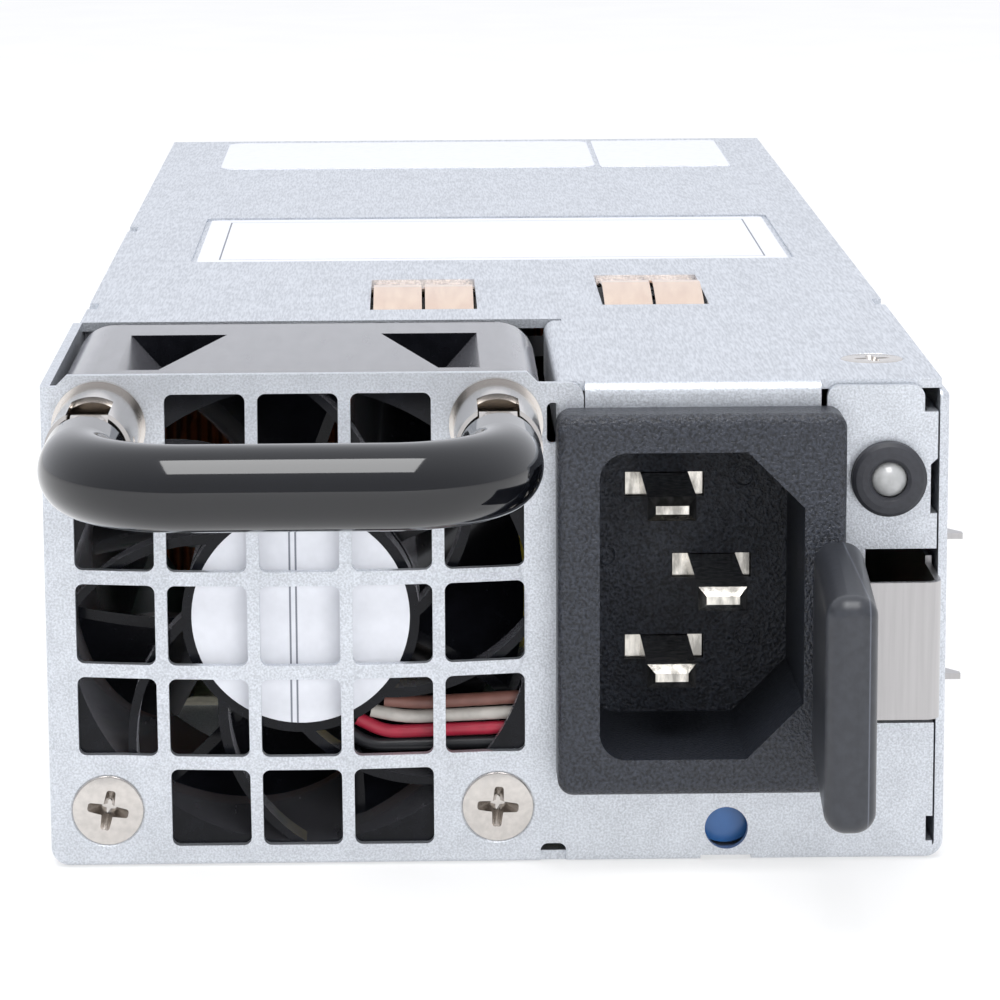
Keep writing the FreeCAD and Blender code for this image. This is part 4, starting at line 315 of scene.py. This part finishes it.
def fan_plastic(name):
    """Glass filled polyester, black; its smooth skin stays dark face on and hazes at a glance.

    The melt drags the fibres along the fan's axis, which leaves faint flow streaks.
    """
    made, tree = fresh(name)
    tone = bpy.context.scene.supply_colours.nylon
    place = add_node(tree, "TexCoord").outputs["Object"]
    drawn = add_node(tree, "Mapping", {"Scale": (1, 0.2, 1)}, {"Vector": place})
    flow = add_node(tree, "TexNoise", {"Scale": 1 / (1.4 * MM), "Detail": 3.0},
                    {"Vector": drawn})
    shade = add_node(tree, "ValToRGB", links={"Fac": flow},
                     stops=((0.35, dimmed(tone, 0.8)), (0.65, dimmed(tone, 1.25))))
    matt = add_node(tree, "MapRange", {"To Min": 0.18, "To Max": 0.32}, {"Value": flow})
    relief = add_node(tree, "Bump", {"Strength": 0.15, "Distance": 0.04 * MM},
                      {"Height": flow})
    shader = add_node(tree, "BsdfPrincipled", {
        "Specular IOR Level": 0.06, "Coat Weight": 1.0, "Coat IOR": 1.23,
        "Coat Roughness": 0.12, "Sheen Weight": 0.24, "Sheen Roughness": 0.3,
        "Sheen Tint": linear("E9E9F4")}, {
        "Base Color": shade, "Roughness": matt, "Normal": relief})
    add_node(tree, "OutputMaterial", links={"Surface": shader})
    return made


def solder_mask():
    """Green epoxy mask over copper tracks, which stand a little proud and show paler."""
    made, tree = fresh("solder_mask")
    tone = bpy.context.scene.supply_colours.board
    place = add_node(tree, "TexCoord").outputs["Object"]
    # real tracks are 0.2 to 2 mm apart; one in 2.5 mm is enough for what shows through slots
    tracks = add_node(tree, "TexBrick", {
        "Scale": 1 / (2.5 * MM), "Mortar Size": 0.06, "Color1": (1, 1, 1, 1),
        "Color2": (0.7, 0.7, 0.7, 1), "Mortar": (0, 0, 0, 1)}, {"Vector": place})
    shade = add_node(tree, "ValToRGB", links={"Fac": tracks.outputs[1]},
                     stops=((0.3, dimmed(tone, 1.35)), (0.6, tone)))
    relief = add_node(tree, "Bump", {"Strength": 0.4, "Distance": 0.03 * MM},
                      {"Height": tracks.outputs[1]})
    shader = add_node(tree, "BsdfPrincipled", {"Roughness": 0.28, "Coat Weight": 0.3}, {
        "Base Color": shade, "Normal": relief})
    add_node(tree, "OutputMaterial", links={"Surface": shader})
    return made


def lamp_epoxy():
    """Milky cast epoxy of a lamp: grey within, with a small sharp highlight from its skin."""
    made, tree = fresh("lamp_epoxy")
    place = add_node(tree, "TexCoord").outputs["Object"]
    cloud = add_node(tree, "TexNoise", {"Scale": 1 / (1.1 * MM), "Detail": 2.0},
                     {"Vector": place})
    shade = add_node(tree, "ValToRGB", links={"Fac": cloud},
                     stops=((0.35, linear("B2B3B3")), (0.65, linear("C4C5C5"))))
    shader = add_node(tree, "BsdfPrincipled", {
        "Roughness": 0.05, "Transmission Weight": 0.35, "IOR": 1.52, "Coat Weight": 0.8,
        "Coat Roughness": 0.02}, {"Base Color": shade})
    add_node(tree, "OutputMaterial", links={"Surface": shader})
    return made


def label_film(name):
    """White polyester film, satin, with the faint mottle of the glue under it."""
    made, tree = fresh(name)
    tone = bpy.context.scene.supply_colours.film
    place = add_node(tree, "TexCoord").outputs["Object"]
    mottle = add_node(tree, "TexNoise", {"Scale": 1 / (0.83 * MM), "Detail": 2.0},
                      {"Vector": place})
    shade = add_node(tree, "ValToRGB", links={"Fac": mottle},
                     stops=((0.35, dimmed(tone, 0.95)), (0.65, tone)))
    relief = add_node(tree, "Bump", {"Strength": 0.08, "Distance": 0.02 * MM},
                      {"Height": mottle})
    shader = add_node(tree, "BsdfPrincipled", {"Roughness": 0.42}, {
        "Base Color": shade, "Normal": relief})
    add_node(tree, "OutputMaterial", links={"Surface": shader})
    return made


def ruled_film(name, rules, white=1.0):
    """White polyester film with thin printed rules, grey against the satin white.

    Each rule is an axis, its place and the low and high ends of its run along the other axis. A
    white below one darkens the whole film as painted shade.
    """
    made, tree = fresh(name)
    # a white below one paints shade over the whole film
    film = dimmed(bpy.context.scene.supply_colours.film, white)
    width = bpy.context.scene.supply_sizes.rule_width
    place = add_node(tree, "TexCoord").outputs["Object"]
    parts = add_node(tree, "SeparateXYZ", links={"Vector": place}).outputs
    ink = None
    for axis, at, other, low, high in rules:
        line = add_node(tree, "Math", {"operation": "COMPARE", 1: at, 2: width / 2},
                        {0: parts[axis]})
        run = add_node(tree, "Math", {"operation": "COMPARE", 1: (low + high) / 2,
                                      2: (high - low + width) / 2}, {0: parts[other]})
        mark = add_node(tree, "Math", {"operation": "MULTIPLY"}, {0: line, 1: run})
        ink = add_node(tree, "Math", {"operation": "MAXIMUM"},
                       {0: mark, 1: ink}) if ink else mark
    mottle = add_node(tree, "TexNoise", {"Scale": 1 / (0.83 * MM), "Detail": 2.0},
                      {"Vector": place})
    paper = add_node(tree, "ValToRGB", links={"Fac": mottle},
                     stops=((0.35, dimmed(film, 0.96)), (0.65, film)))
    shade = add_node(tree, "Mix", {"data_type": "RGBA", 7: linear("6A6D76")},
                     {0: ink, 6: paper.outputs[0]})
    shader = add_node(tree, "BsdfPrincipled", {"Roughness": 0.42},
                      {"Base Color": shade.outputs[2]})
    add_node(tree, "OutputMaterial", links={"Surface": shader})
    return made


def hub_rules():
    """Two upright rules beside the middle of the hub label."""
    low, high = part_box("fan_hub_label")
    middle = (low.x + high.x) / 2 - 0.6 * MM
    gap = bpy.context.scene.supply_sizes.rule_gap
    return [("X", middle + side * gap / 2, "Z", low.z, high.z) for side in (-1, 1)]


def frame_rules():
    """A rectangle of rules inside the edge of the rating label."""
    low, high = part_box("rating_label")
    inset = bpy.context.scene.supply_sizes.rule_inset
    left, right = low.x + inset, high.x - inset
    near, far = low.y + inset, high.y - inset
    return [("X", left, "Y", near, far), ("X", right, "Y", near, far),
            ("Y", near, "X", left, right), ("Y", far, "X", left, right)]


def enamelled_wire(name, tone, pitch):
    """Close turns of enamelled wire: ridges painted lighter as highlight and gaps painted dark as
    shade, pitch in millimetres.
    """
    made, tree = fresh(name)
    place = add_node(tree, "TexCoord").outputs["Object"]
    turns = add_node(tree, "TexWave", {"Scale": math.pi / 10 / (pitch * MM),
                                       "Distortion": 0.4}, {"Vector": place})
    # painted shade in the gaps between turns, painted highlight on the ridges
    shade = add_node(tree, "ValToRGB", links={"Fac": turns.outputs[1]},
                     stops=((0.1, dimmed(tone, 0.35)), (0.6, dimmed(tone, 1.1))))
    relief = add_node(tree, "Bump", {"Strength": 0.7, "Distance": 0.3 * MM},
                      {"Height": turns.outputs[1]})
    shader = add_node(tree, "BsdfPrincipled", {
        "Metallic": 0.6, "Roughness": 0.3, "Coat Weight": 0.5}, {
        "Base Color": shade, "Normal": relief})
    add_node(tree, "OutputMaterial", links={"Surface": shader})
    return made


def assign(material, *names):
    """A material for carried-over nodes."""
    for name in names:
        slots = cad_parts[name].data.materials
        slots.clear()
        slots.append(material)


class SUPPLY_OT_finishes(bpy.types.Operator):
    """Gives every carried-over node the finish of its real material."""

    bl_idname = "supply.finishes"
    bl_label = "Finishes"

    def execute(self, context):
        self.sheet_and_metals(context.scene.supply_colours)
        self.plastics(context.scene.supply_colours)
        self.electrics(context.scene.supply_colours)
        self.films()
        return {"FINISHED"}

    def sheet_and_metals(self, tones):
        """Grain is in millimetres. Rolling, plating and brushing leave marks of a hundredth to
        a tenth of one, too fine to show, so each is drawn as coarse as it needs to be seen as a
        slight unevenness of the shine."""
        # hot dipped and rolled sheet: pale, dull and sparkling
        assign(galvanised_steel("galvanised_steel"), "chassis_tray", "rear_panel")
        # the same sheet brushed lengthwise: the sparkle is drawn out towards the rear
        assign(galvanised_steel("brushed_galvanised_steel", 12.0), "top_cover")
        # rolled strip, softly polished along its length: warm, with a soft gloss
        assign(metal("copper_strip", tones.copper, 0.24, 1.1, (1, 0.1, 1)), "grounding_fingers")
        # bright nickel over turned steel: warm white, close to a mirror on the bends
        assign(metal("nickel_plate", tones.nickel, 0.2, 0.67, (1, 1, 1), 0.1), "handle_pins",
               "handle_screws", "handle_wire", "fan_screws", "cover_screws",
               "board_screws", "latch_rivets", "standoffs")
        # the same plate on the sockets, with painted shade and a painted thread in the bore
        assign(threaded_nickel("threaded_nickel"), "handle_ferrules")
        # cold rolled stainless strip, brushed upright: fine upright lines in a satin shine
        assign(metal("brushed_stainless", tones.stainless, 0.3, 0.45, (1, 1, 0.04), 0.15),
               "latch_spring")
        # tin rolled on before stamping: bright, with the roll's dull streaks
        assign(metal("tinned_brass", linear("DAD6CE"), 0.2, 0.67, (1, 1, 0.35), 0.3, 0.5),
               "inlet_blades")
        # hard gold over nickel on the edge pads: yellow, smooth and bright
        assign(metal("hard_gold", linear("E3B54A"), 0.22, 0.67), "edge_contacts")
        # ground bearing and shaft steel: neutral grey with a satin shine
        assign(metal("ground_steel", linear("9A9CA0"), 0.3, 0.5), "rotor_yoke", "fan_shaft",
               "fan_bearings")
        # stamped and stacked sheet: dark grey, with the stack's fine layers
        assign(metal("lamination_steel", linear("5C5D61"), 0.45, 0.4, (1, 8, 1)), "fan_stator")
        # extruded and left bare: pale grey, with the die's lines along the profile
        assign(metal("extruded_aluminium", linear("B9BBBF"), 0.35, 1.1, (1, 0.05, 1)),
               "primary_heatsink", "secondary_heatsink")
        # punched copper bar, a little tarnished: brownish red and satin
        assign(metal("bare_copper", linear("C77B52"), 0.3, 1.1), "output_bar")
        # drawn cans: pale and smooth, shinier than the heatsinks
        assign(metal("drawn_aluminium", linear("CACCD0"), 0.25, 1.4), "output_capacitors")

    def plastics(self, tones):
        # spark eroded tool: dull, with a grain of 0.05 to 0.1 mm that is drawn coarser to show
        assign(moulded("grained_inlet_plastic", tones.housing, 0.33, 0.26, 1.0, 0.22,
                       speckle=0.6), "inlet_housing")
        # extruded soft vinyl tube: black and wet looking, with sharp highlights
        assign(moulded("polished_sleeve_plastic", tones.sleeve, 0.07, 3.3, 0.03, coat=0.4),
               "handle_sleeve")
        # soft vinyl moulded in two halves: dark grey and satin, with a pale parting line
        assign(parted_plastic("satin_grip_plastic"), "latch_grip")
        # injection moulded and glass filled: black face on, hazy at a glance
        assign(fan_plastic("glass_filled_nylon"), "fan_frame", "fan_rotor", "fan_connector")
        # small moulding from an unpolished tool: dark grey and matt
        assign(moulded("matt_lamp_plastic", linear("2A2B30"), 0.55, 0.4, 0.2), "lamp_holder")
        # pressed magnet powder in resin: near black and matt, slightly rough
        assign(moulded("bonded_magnet", linear("2B2A2A"), 0.6, 1.1, 0.3), "rotor_magnet")
        # calendered paper board: cream and matt
        assign(moulded("pressed_insulating_board", linear("E8E3CF"), 0.6, 1.4, 0.2),
               "insulating_sheet")

    def electrics(self, tones):
        # box moulded round the windings: yellow ochre and satin
        assign(moulded("film_capacitor_box", linear("C9B23A"), 0.4, 1.4, 0.1), "film_capacitors")
        # shrunk film over a can: dark blue grey and glossy
        assign(moulded("capacitor_sleeve", linear("2A2D38"), 0.3, 2.0, 0.05), "bulk_capacitors")
        # disc dipped in epoxy: blue and glossy, slightly wavy
        assign(moulded("blue_epoxy_dip", tones.blue, 0.25, 2.5, 0.2, coat=0.4),
               "safety_capacitors")
        # fired and glazed tube: off white and glossy
        assign(moulded("glazed_ceramic", linear("D9D6CC"), 0.25, 1.7, 0.1, coat=0.4), "fuse")
        # moulded relay box: black and satin
        assign(moulded("relay_case", linear("1C1D20"), 0.4, 1.1, 0.1), "inrush_relay")
        # transfer moulded epoxy: black and dull
        assign(moulded("epoxy_package", linear("17181A"), 0.5, 0.67, 0.2), "primary_transistors",
               "bridge_rectifier")
        assign(solder_mask(), "main_board", "fan_board", "control_board")
        # lacquered copper turns: dark orange ridges that catch the light, painted lighter, with
        # painted shade between the turns
        assign(enamelled_wire("ring_winding", linear("8E4A22"), 1.0), "line_chokes",
               "output_choke")
        # polyester tape over the windings: yellow and glossy
        assign(moulded("yellow_winding_tape", linear("C9A227"), 0.35, 3.3, 0.1),
               "main_transformer", "boost_choke")
        # extruded vinyl round the wires: plain colours with a soft gloss
        for name, code in (("red", "9A2438"), ("grey", "A8A49E"), ("brown", "6E4A42"),
                           ("black", "202124")):
            assign(moulded("%s_insulation" % name, linear(code), 0.35, 1.1, 0.1),
                   "fan_lead_" + name)
        for name, code in (("line", "5A3A2A"), ("neutral", "2B4F8C"), ("earth", "3E7A3A")):
            assign(moulded("%s_lead_insulation" % name, linear(code), 0.35, 1.1, 0.1),
                   "inlet_lead_" + name)
        assign(moulded("lamp_wire_insulation", linear("B03030"), 0.35, 1.1, 0.1), "lamp_wires")
        assign(lamp_epoxy(), "lamp_lens")

    def films(self):
        assign(label_film("label_film"), "rear_labels")
        assign(ruled_film("framed_label_film", frame_rules()), "rating_label")
        # the hub label lies in the grille's shade, which is painted here by darkening its film
        assign(ruled_film("ruled_label_film", hub_rules(), 0.86), "fan_hub_label")


# ---------------------------------------------------------------- pieces

def clear_selection():
    if bpy.context.object and bpy.context.object.mode != "OBJECT":
        bpy.ops.object.mode_set(mode="OBJECT")
    bpy.ops.object.select_all(action="DESELECT")


def select_only(*objects):
    clear_selection()
    for one in objects:
        one.select_set(True)
    bpy.context.view_layer.objects.active = objects[0]


def settle(piece, name, body, material, slot, *replaced):
    """Names a finished piece, bakes its place into its mesh and gives it body and finish."""
    select_only(piece)
    bpy.ops.object.transform_apply(location=True, rotation=True, scale=True)
    bpy.ops.object.shade_smooth_by_angle(angle=math.radians(35))
    piece.name = name
    piece.data.name = name
    piece.data.materials.clear()
    piece.data.materials.append(material)
    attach(piece, body)
    if replaced:
        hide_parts(*replaced)
    return piece


def joined(pieces):
    select_only(*pieces)
    bpy.ops.object.join()
    return bpy.context.object


def pick_faces(piece, test):
    """In edit mode, selects the faces that pass the test and nothing else."""
    bpy.ops.mesh.select_mode(type="FACE")
    bpy.ops.mesh.select_all(action="DESELECT")
    mesh = bmesh.from_edit_mesh(piece.data)
    for face in mesh.faces:
        face.select_set(test(face))
    bmesh.update_edit_mesh(piece.data)


def pick_edges(piece, test):
    """In edit mode, selects the edges that pass the test and nothing else."""
    bpy.ops.mesh.select_mode(type="EDGE")
    bpy.ops.mesh.select_all(action="DESELECT")
    mesh = bmesh.from_edit_mesh(piece.data)
    for edge in mesh.edges:
        edge.select_set(test(edge))
    bmesh.update_edit_mesh(piece.data)


def carve(piece, cutter):
    """Cuts one solid out of another and drops the cutter."""
    cut = piece.modifiers.new("carve", "BOOLEAN")
    cut.operation = "DIFFERENCE"
    cut.solver = "MANIFOLD"
    cut.object = cutter
    select_only(piece)
    bpy.ops.object.modifier_apply(modifier=cut.name)
    bpy.data.objects.remove(cutter)


def cross_cutter():
    """A cross with tapering arms, pointing up from the origin."""
    sizes = bpy.context.scene.supply_sizes
    half, reach = sizes.recess_width / 2, sizes.recess_reach
    clear_selection()
    # a tenth of the depth stands above the head, so that the mouth is cut clean
    bpy.ops.mesh.primitive_cube_add(size=1, location=(0, 0, -sizes.recess_depth * 0.45),
                                    scale=(half * 2, half * 2, sizes.recess_depth * 1.1))
    cutter = bpy.context.object
    bpy.ops.object.transform_apply(location=True, rotation=False, scale=True)
    bpy.ops.object.mode_set(mode="EDIT")
    for x, y in ((1, 0), (0, 1), (-1, 0), (0, -1)):
        pick_faces(cutter, lambda face: face.normal.x * x + face.normal.y * y > 0.9
                   and abs(face.calc_center_median().dot(Vector((y, x, 0)))) < half * 0.3)
        bpy.ops.mesh.extrude_region_move(TRANSFORM_OT_translate={
            "value": (x * (reach - half), y * (reach - half), 0)})
        bpy.ops.transform.resize(value=(1 - 0.22 * abs(y), 1 - 0.22 * abs(x), 1))
    # each arm's foot is shorter and narrower than its mouth
    pick_faces(cutter, lambda face: face.normal.z < -0.9)
    bpy.ops.transform.resize(value=(0.36, 0.36, 1))
    # rounded ends
    pick_edges(cutter, lambda edge: abs(edge.verts[0].co.z - edge.verts[1].co.z) > half
               and max(v.co.xy.length for v in edge.verts) > half * 2.5)
    bpy.ops.mesh.bevel(offset=half * 0.4, segments=3, affect="EDGES")
    bpy.ops.object.mode_set(mode="OBJECT")
    return cutter


def screw_head(radius):
    """A flat head with a rounded rim, a cross recess and a short shank, facing up at the origin."""
    sizes = bpy.context.scene.supply_sizes
    clear_selection()
    bpy.ops.mesh.primitive_cylinder_add(vertices=64, radius=radius, depth=sizes.head_depth,
                                        location=(0, 0, -sizes.head_depth / 2))
    head = bpy.context.object
    bpy.ops.object.transform_apply(location=True, rotation=False, scale=False)
    bpy.ops.object.mode_set(mode="EDIT")
    pick_faces(head, lambda face: face.normal.z < -0.9)
    bpy.ops.mesh.inset(thickness=radius * 0.45)
    bpy.ops.mesh.extrude_region_move(TRANSFORM_OT_translate={"value": (0, 0, -sizes.shank)})
    pick_edges(head, lambda edge: all(abs(v.co.z) < 1e-6 for v in edge.verts))
    bpy.ops.mesh.bevel(offset=sizes.head_rim, segments=3, affect="EDGES")
    bpy.ops.object.mode_set(mode="OBJECT")
    carve(head, cross_cutter())
    return head


def placed_copy(piece, place, axis, spin, scale=1.0):
    """A copy with its own mesh, its +Z turned to the axis and spun about it, in degrees."""
    twin = piece.copy()
    twin.data = piece.data.copy()
    bpy.context.scene.collection.objects.link(twin)
    turn = Vector((0, 0, 1)).rotation_difference(Vector(axis)).to_matrix().to_4x4()
    twin.matrix_world = (Matrix.Translation(place) @ turn
                         @ Matrix.Rotation(math.radians(spin), 4, "Z")
                         @ Matrix.Scale(scale, 4))
    return twin


def cover_screw_places():
    """Centre, outward axis and radius of each flat head among the cover's screws."""
    points = [v.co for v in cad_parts["cover_screws"].data.vertices]
    low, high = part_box("cover_screws")
    found = []
    for axis, value in (((0, 0, 1), high.z), ((1, 0, 0), high.x), ((-1, 0, 0), -low.x)):
        out = Vector(axis)
        rim = [p for p in points if abs(p.dot(out) - value) < 1e-5]
        centre = Vector([(min(p[i] for p in rim) + max(p[i] for p in rim)) / 2 for i in range(3)])
        found.append((centre, axis, max((p - centre).length for p in rim)))
    return found


class SUPPLY_OT_screws(bpy.types.Operator):
    """Models the cross-recessed screws that show."""

    bl_idname = "supply.screws"
    bl_label = "Screws"

    def execute(self, context):
        nickel = bpy.data.materials["nickel_plate"]
        low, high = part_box("fan_screws")
        radius = (high.z - low.z) / 2
        head = screw_head(radius)
        heads = [placed_copy(head, (x, low.y, low.z + radius), (0, -1, 0), spin)
                 for x, spin in ((low.x + radius, -11), (high.x - radius, -4))]
        settle(joined(heads), "fan_screw_heads", "case", nickel, "nickel_steel", "fan_screws")
        heads = [placed_copy(head, place, axis, spin, reach / radius)
                 for (place, axis, reach), spin in zip(cover_screw_places(), (8, 30, 50))]
        settle(joined(heads), "cover_screw_heads", "case", nickel, "nickel_steel", "cover_screws")
        bpy.data.objects.remove(head)
        return {"FINISHED"}


class SUPPLY_OT_ejector_marks(bpy.types.Operator):
    """Round marks that the ejector pins leave on the floor of the inlet's recess."""

    bl_idname = "supply.ejector_marks"
    bl_label = "Ejector marks"

    def execute(self, context):
        sizes = context.scene.supply_sizes
        clear_selection()
        bpy.ops.mesh.primitive_cylinder_add(vertices=48, radius=sizes.mark_radius,
                                            depth=sizes.mark_height * 2)
        mark = context.object
        bpy.ops.object.mode_set(mode="EDIT")
        # a rim, and inside it a slope down almost to the floor
        pick_faces(mark, lambda face: face.normal.z > 0.9)
        bpy.ops.mesh.inset(thickness=sizes.mark_rim)
        bpy.ops.mesh.inset(thickness=sizes.mark_slope)
        bpy.ops.transform.translate(value=(0, 0, -sizes.mark_height * 0.9))
        bpy.ops.object.mode_set(mode="OBJECT")
        low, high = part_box("inlet_blades")
        middle = (low + high) / 2
        # millimetres to the right of and above the middle of the blades
        places = ((-6.9, 0.9), (4.7, 7.6), (4.9, -6.1))
        marks = [placed_copy(mark, (middle.x + x * MM, sizes.recess_floor, middle.z + z * MM),
                             (0, -1, 0), 0) for x, z in places]
        bpy.data.objects.remove(mark)
        settle(joined(marks), "ejector_marks", "case",
               bpy.data.materials["grained_inlet_plastic"], "inlet_plastic")
        return {"FINISHED"}


# ---------------------------------------------------------------- stage

# place, width and depth, watts, and whether gloss mirrors it
LAMPS = {
    "key_light": ((-0.55, -0.75, 1.0), (0.9, 0.9), 4.0, False),
    "front_light": ((0.3, -1.2, 0.1), (0.8, 0.8), 13.5, False),
    "top_light": ((0.0, -0.5, 1.05), (0.62, 0.8), 8.5, True),
}


class SUPPLY_OT_stage(bpy.types.Operator):
    """Makes the pale floor, the soft light and the camera."""

    bl_idname = "supply.stage"
    bl_label = "Stage"

    def execute(self, context):
        scene = context.scene
        scene.view_settings.view_transform = "Standard"
        clear_selection()
        floor_level = min(CAD_BOX[0][2], CAD_BOX[1][2]) - 0.1 * MM
        bpy.ops.mesh.primitive_plane_add(size=6, location=(0, 0, floor_level))
        floor = context.object
        floor.name = "floor"
        floor.data.materials.append(self.floor_paint(scene.supply_stage))
        self.sky(scene)
        for name, (place, extent, power, mirrored) in LAMPS.items():
            lamp = bpy.data.lights.new(name, "AREA")
            lamp.shape = "RECTANGLE"
            lamp.size, lamp.size_y = extent
            lamp.energy = power
            holder = bpy.data.objects.new(name, lamp)
            scene.collection.objects.link(holder)
            holder.location = place
            holder.visible_glossy = mirrored
            toward = Vector((0, -0.05, 0.02)) - Vector(place)
            holder.rotation_euler = toward.to_track_quat("-Z", "Y").to_euler()
        self.camera(scene)
        return {"FINISHED"}

    def floor_paint(self, stage):
        """Pale matt paint that is seen as white and still takes the shadow."""
        made, tree = fresh("floor_paint")
        place = add_node(tree, "TexCoord").outputs["Object"]
        mottle = add_node(tree, "TexNoise", {"Scale": 1 / (25 * MM), "Detail": 2.0},
                          {"Vector": place})
        shade = add_node(tree, "ValToRGB", links={"Fac": mottle},
                         stops=((0.35, linear("F4F4F5")), (0.65, linear("F8F8F8"))))
        matt = add_node(tree, "BsdfDiffuse", links={"Color": shade})
        glow = add_node(tree, "Emission", {"Color": (1, 1, 1, 1), "Strength": 1.0})
        rays = add_node(tree, "LightPath").outputs
        direct = add_node(tree, "Math", {"operation": "ADD", "use_clamp": True},
                          {0: rays["Is Camera Ray"], 1: rays["Is Glossy Ray"]})
        clear = add_node(tree, "Math", {"operation": "ADD", "use_clamp": True},
                         {0: direct, 1: rays["Is Transmission Ray"]})
        seen = add_node(tree, "Math", {"operation": "MULTIPLY", 1: stage.floor_glow},
                        {0: clear})
        mixed = add_node(tree, "MixShader", links={0: seen, 1: matt, 2: glow})
        add_node(tree, "OutputMaterial", links={"Surface": mixed})
        return made

    def sky(self, scene):
        """White surroundings where seen; for light, a tent that is brighter above and behind."""
        stage = scene.supply_stage
        world = bpy.data.worlds.new("studio")
        world.use_nodes = True
        tree = world.node_tree
        tree.nodes.clear()
        way = add_node(tree, "TexCoord").outputs["Generated"]
        facing = add_node(tree, "VectorMath", {"operation": "DOT_PRODUCT", 1: (0, 0.8, 0.6)},
                          {0: way}).outputs["Value"]
        tent = add_node(tree, "MapRange", {
            "interpolation_type": "SMOOTHSTEP", "From Min": -0.75, "From Max": 0.75,
            "To Min": stage.tent_low, "To Max": stage.tent_high}, {"Value": facing})
        rays = add_node(tree, "LightPath").outputs
        clear = add_node(tree, "Math", {"operation": "ADD", "use_clamp": True},
                         {0: rays["Is Camera Ray"], 1: rays["Is Transmission Ray"]})
        seen = add_node(tree, "Math", {"operation": "MULTIPLY_ADD", 1: stage.tent_gloss,
                                       "use_clamp": True},
                        {0: rays["Is Glossy Ray"], 2: clear})
        strength = add_node(tree, "Mix", {"data_type": "FLOAT", 3: 1.0}, {0: seen, 2: tent})
        tint = add_node(tree, "Mix", {"data_type": "RGBA", 6: linear("F7F9FF"),
                                      7: (1, 1, 1, 1)}, {0: rays["Is Camera Ray"]})
        light = add_node(tree, "Background", links={"Color": tint.outputs[2],
                                                    "Strength": strength})
        add_node(tree, "OutputWorld", links={"Surface": light})
        scene.world = world

    def camera(self, scene):
        stage = scene.supply_stage
        data = bpy.data.cameras.new("camera")
        data.lens = stage.lens
        data.sensor_width = 36
        data.clip_start = 0.01
        holder = bpy.data.objects.new("camera", data)
        scene.collection.objects.link(holder)
        turn = (Matrix.Rotation(-stage.yaw, 4, "Z")
                @ Matrix.Rotation(math.pi / 2 - stage.pitch, 4, "X")
                @ Matrix.Rotation(stage.roll, 4, "Z"))
        holder.matrix_world = Matrix.Translation(stage.camera) @ turn
        scene.camera = holder


class SUPPLY_PT_panel(bpy.types.Panel):
    """Lists the operators."""

    bl_idname = "SUPPLY_PT_panel"
    bl_label = "Power supply"
    bl_space_type = "VIEW_3D"
    bl_region_type = "UI"
    bl_category = "Supply"

    def draw(self, context):
        for one in OPERATORS:
            self.layout.operator(one.bl_idname)


GROUPS = (("supply_colours", SupplyColours), ("supply_sizes", SupplySizes),
          ("supply_stage", SupplyStage))
OPERATORS = (SUPPLY_OT_finishes, SUPPLY_OT_screws, SUPPLY_OT_ejector_marks,
             SUPPLY_OT_stage)
CLASSES = tuple(kind for _, kind in GROUPS) + OPERATORS + (SUPPLY_PT_panel,)


def register():
    for one in CLASSES:
        bpy.utils.register_class(one)
    for name, kind in GROUPS:
        setattr(bpy.types.Scene, name, bpy.props.PointerProperty(type=kind))


def unregister():
    for name, _ in GROUPS:
        delattr(bpy.types.Scene, name)
    for one in reversed(CLASSES):
        bpy.utils.unregister_class(one)


def main():
    register()
    for one in OPERATORS:
        group, name = one.bl_idname.split(".")
        getattr(getattr(bpy.ops, group), name)()


if __name__ == "__main__":
    main()
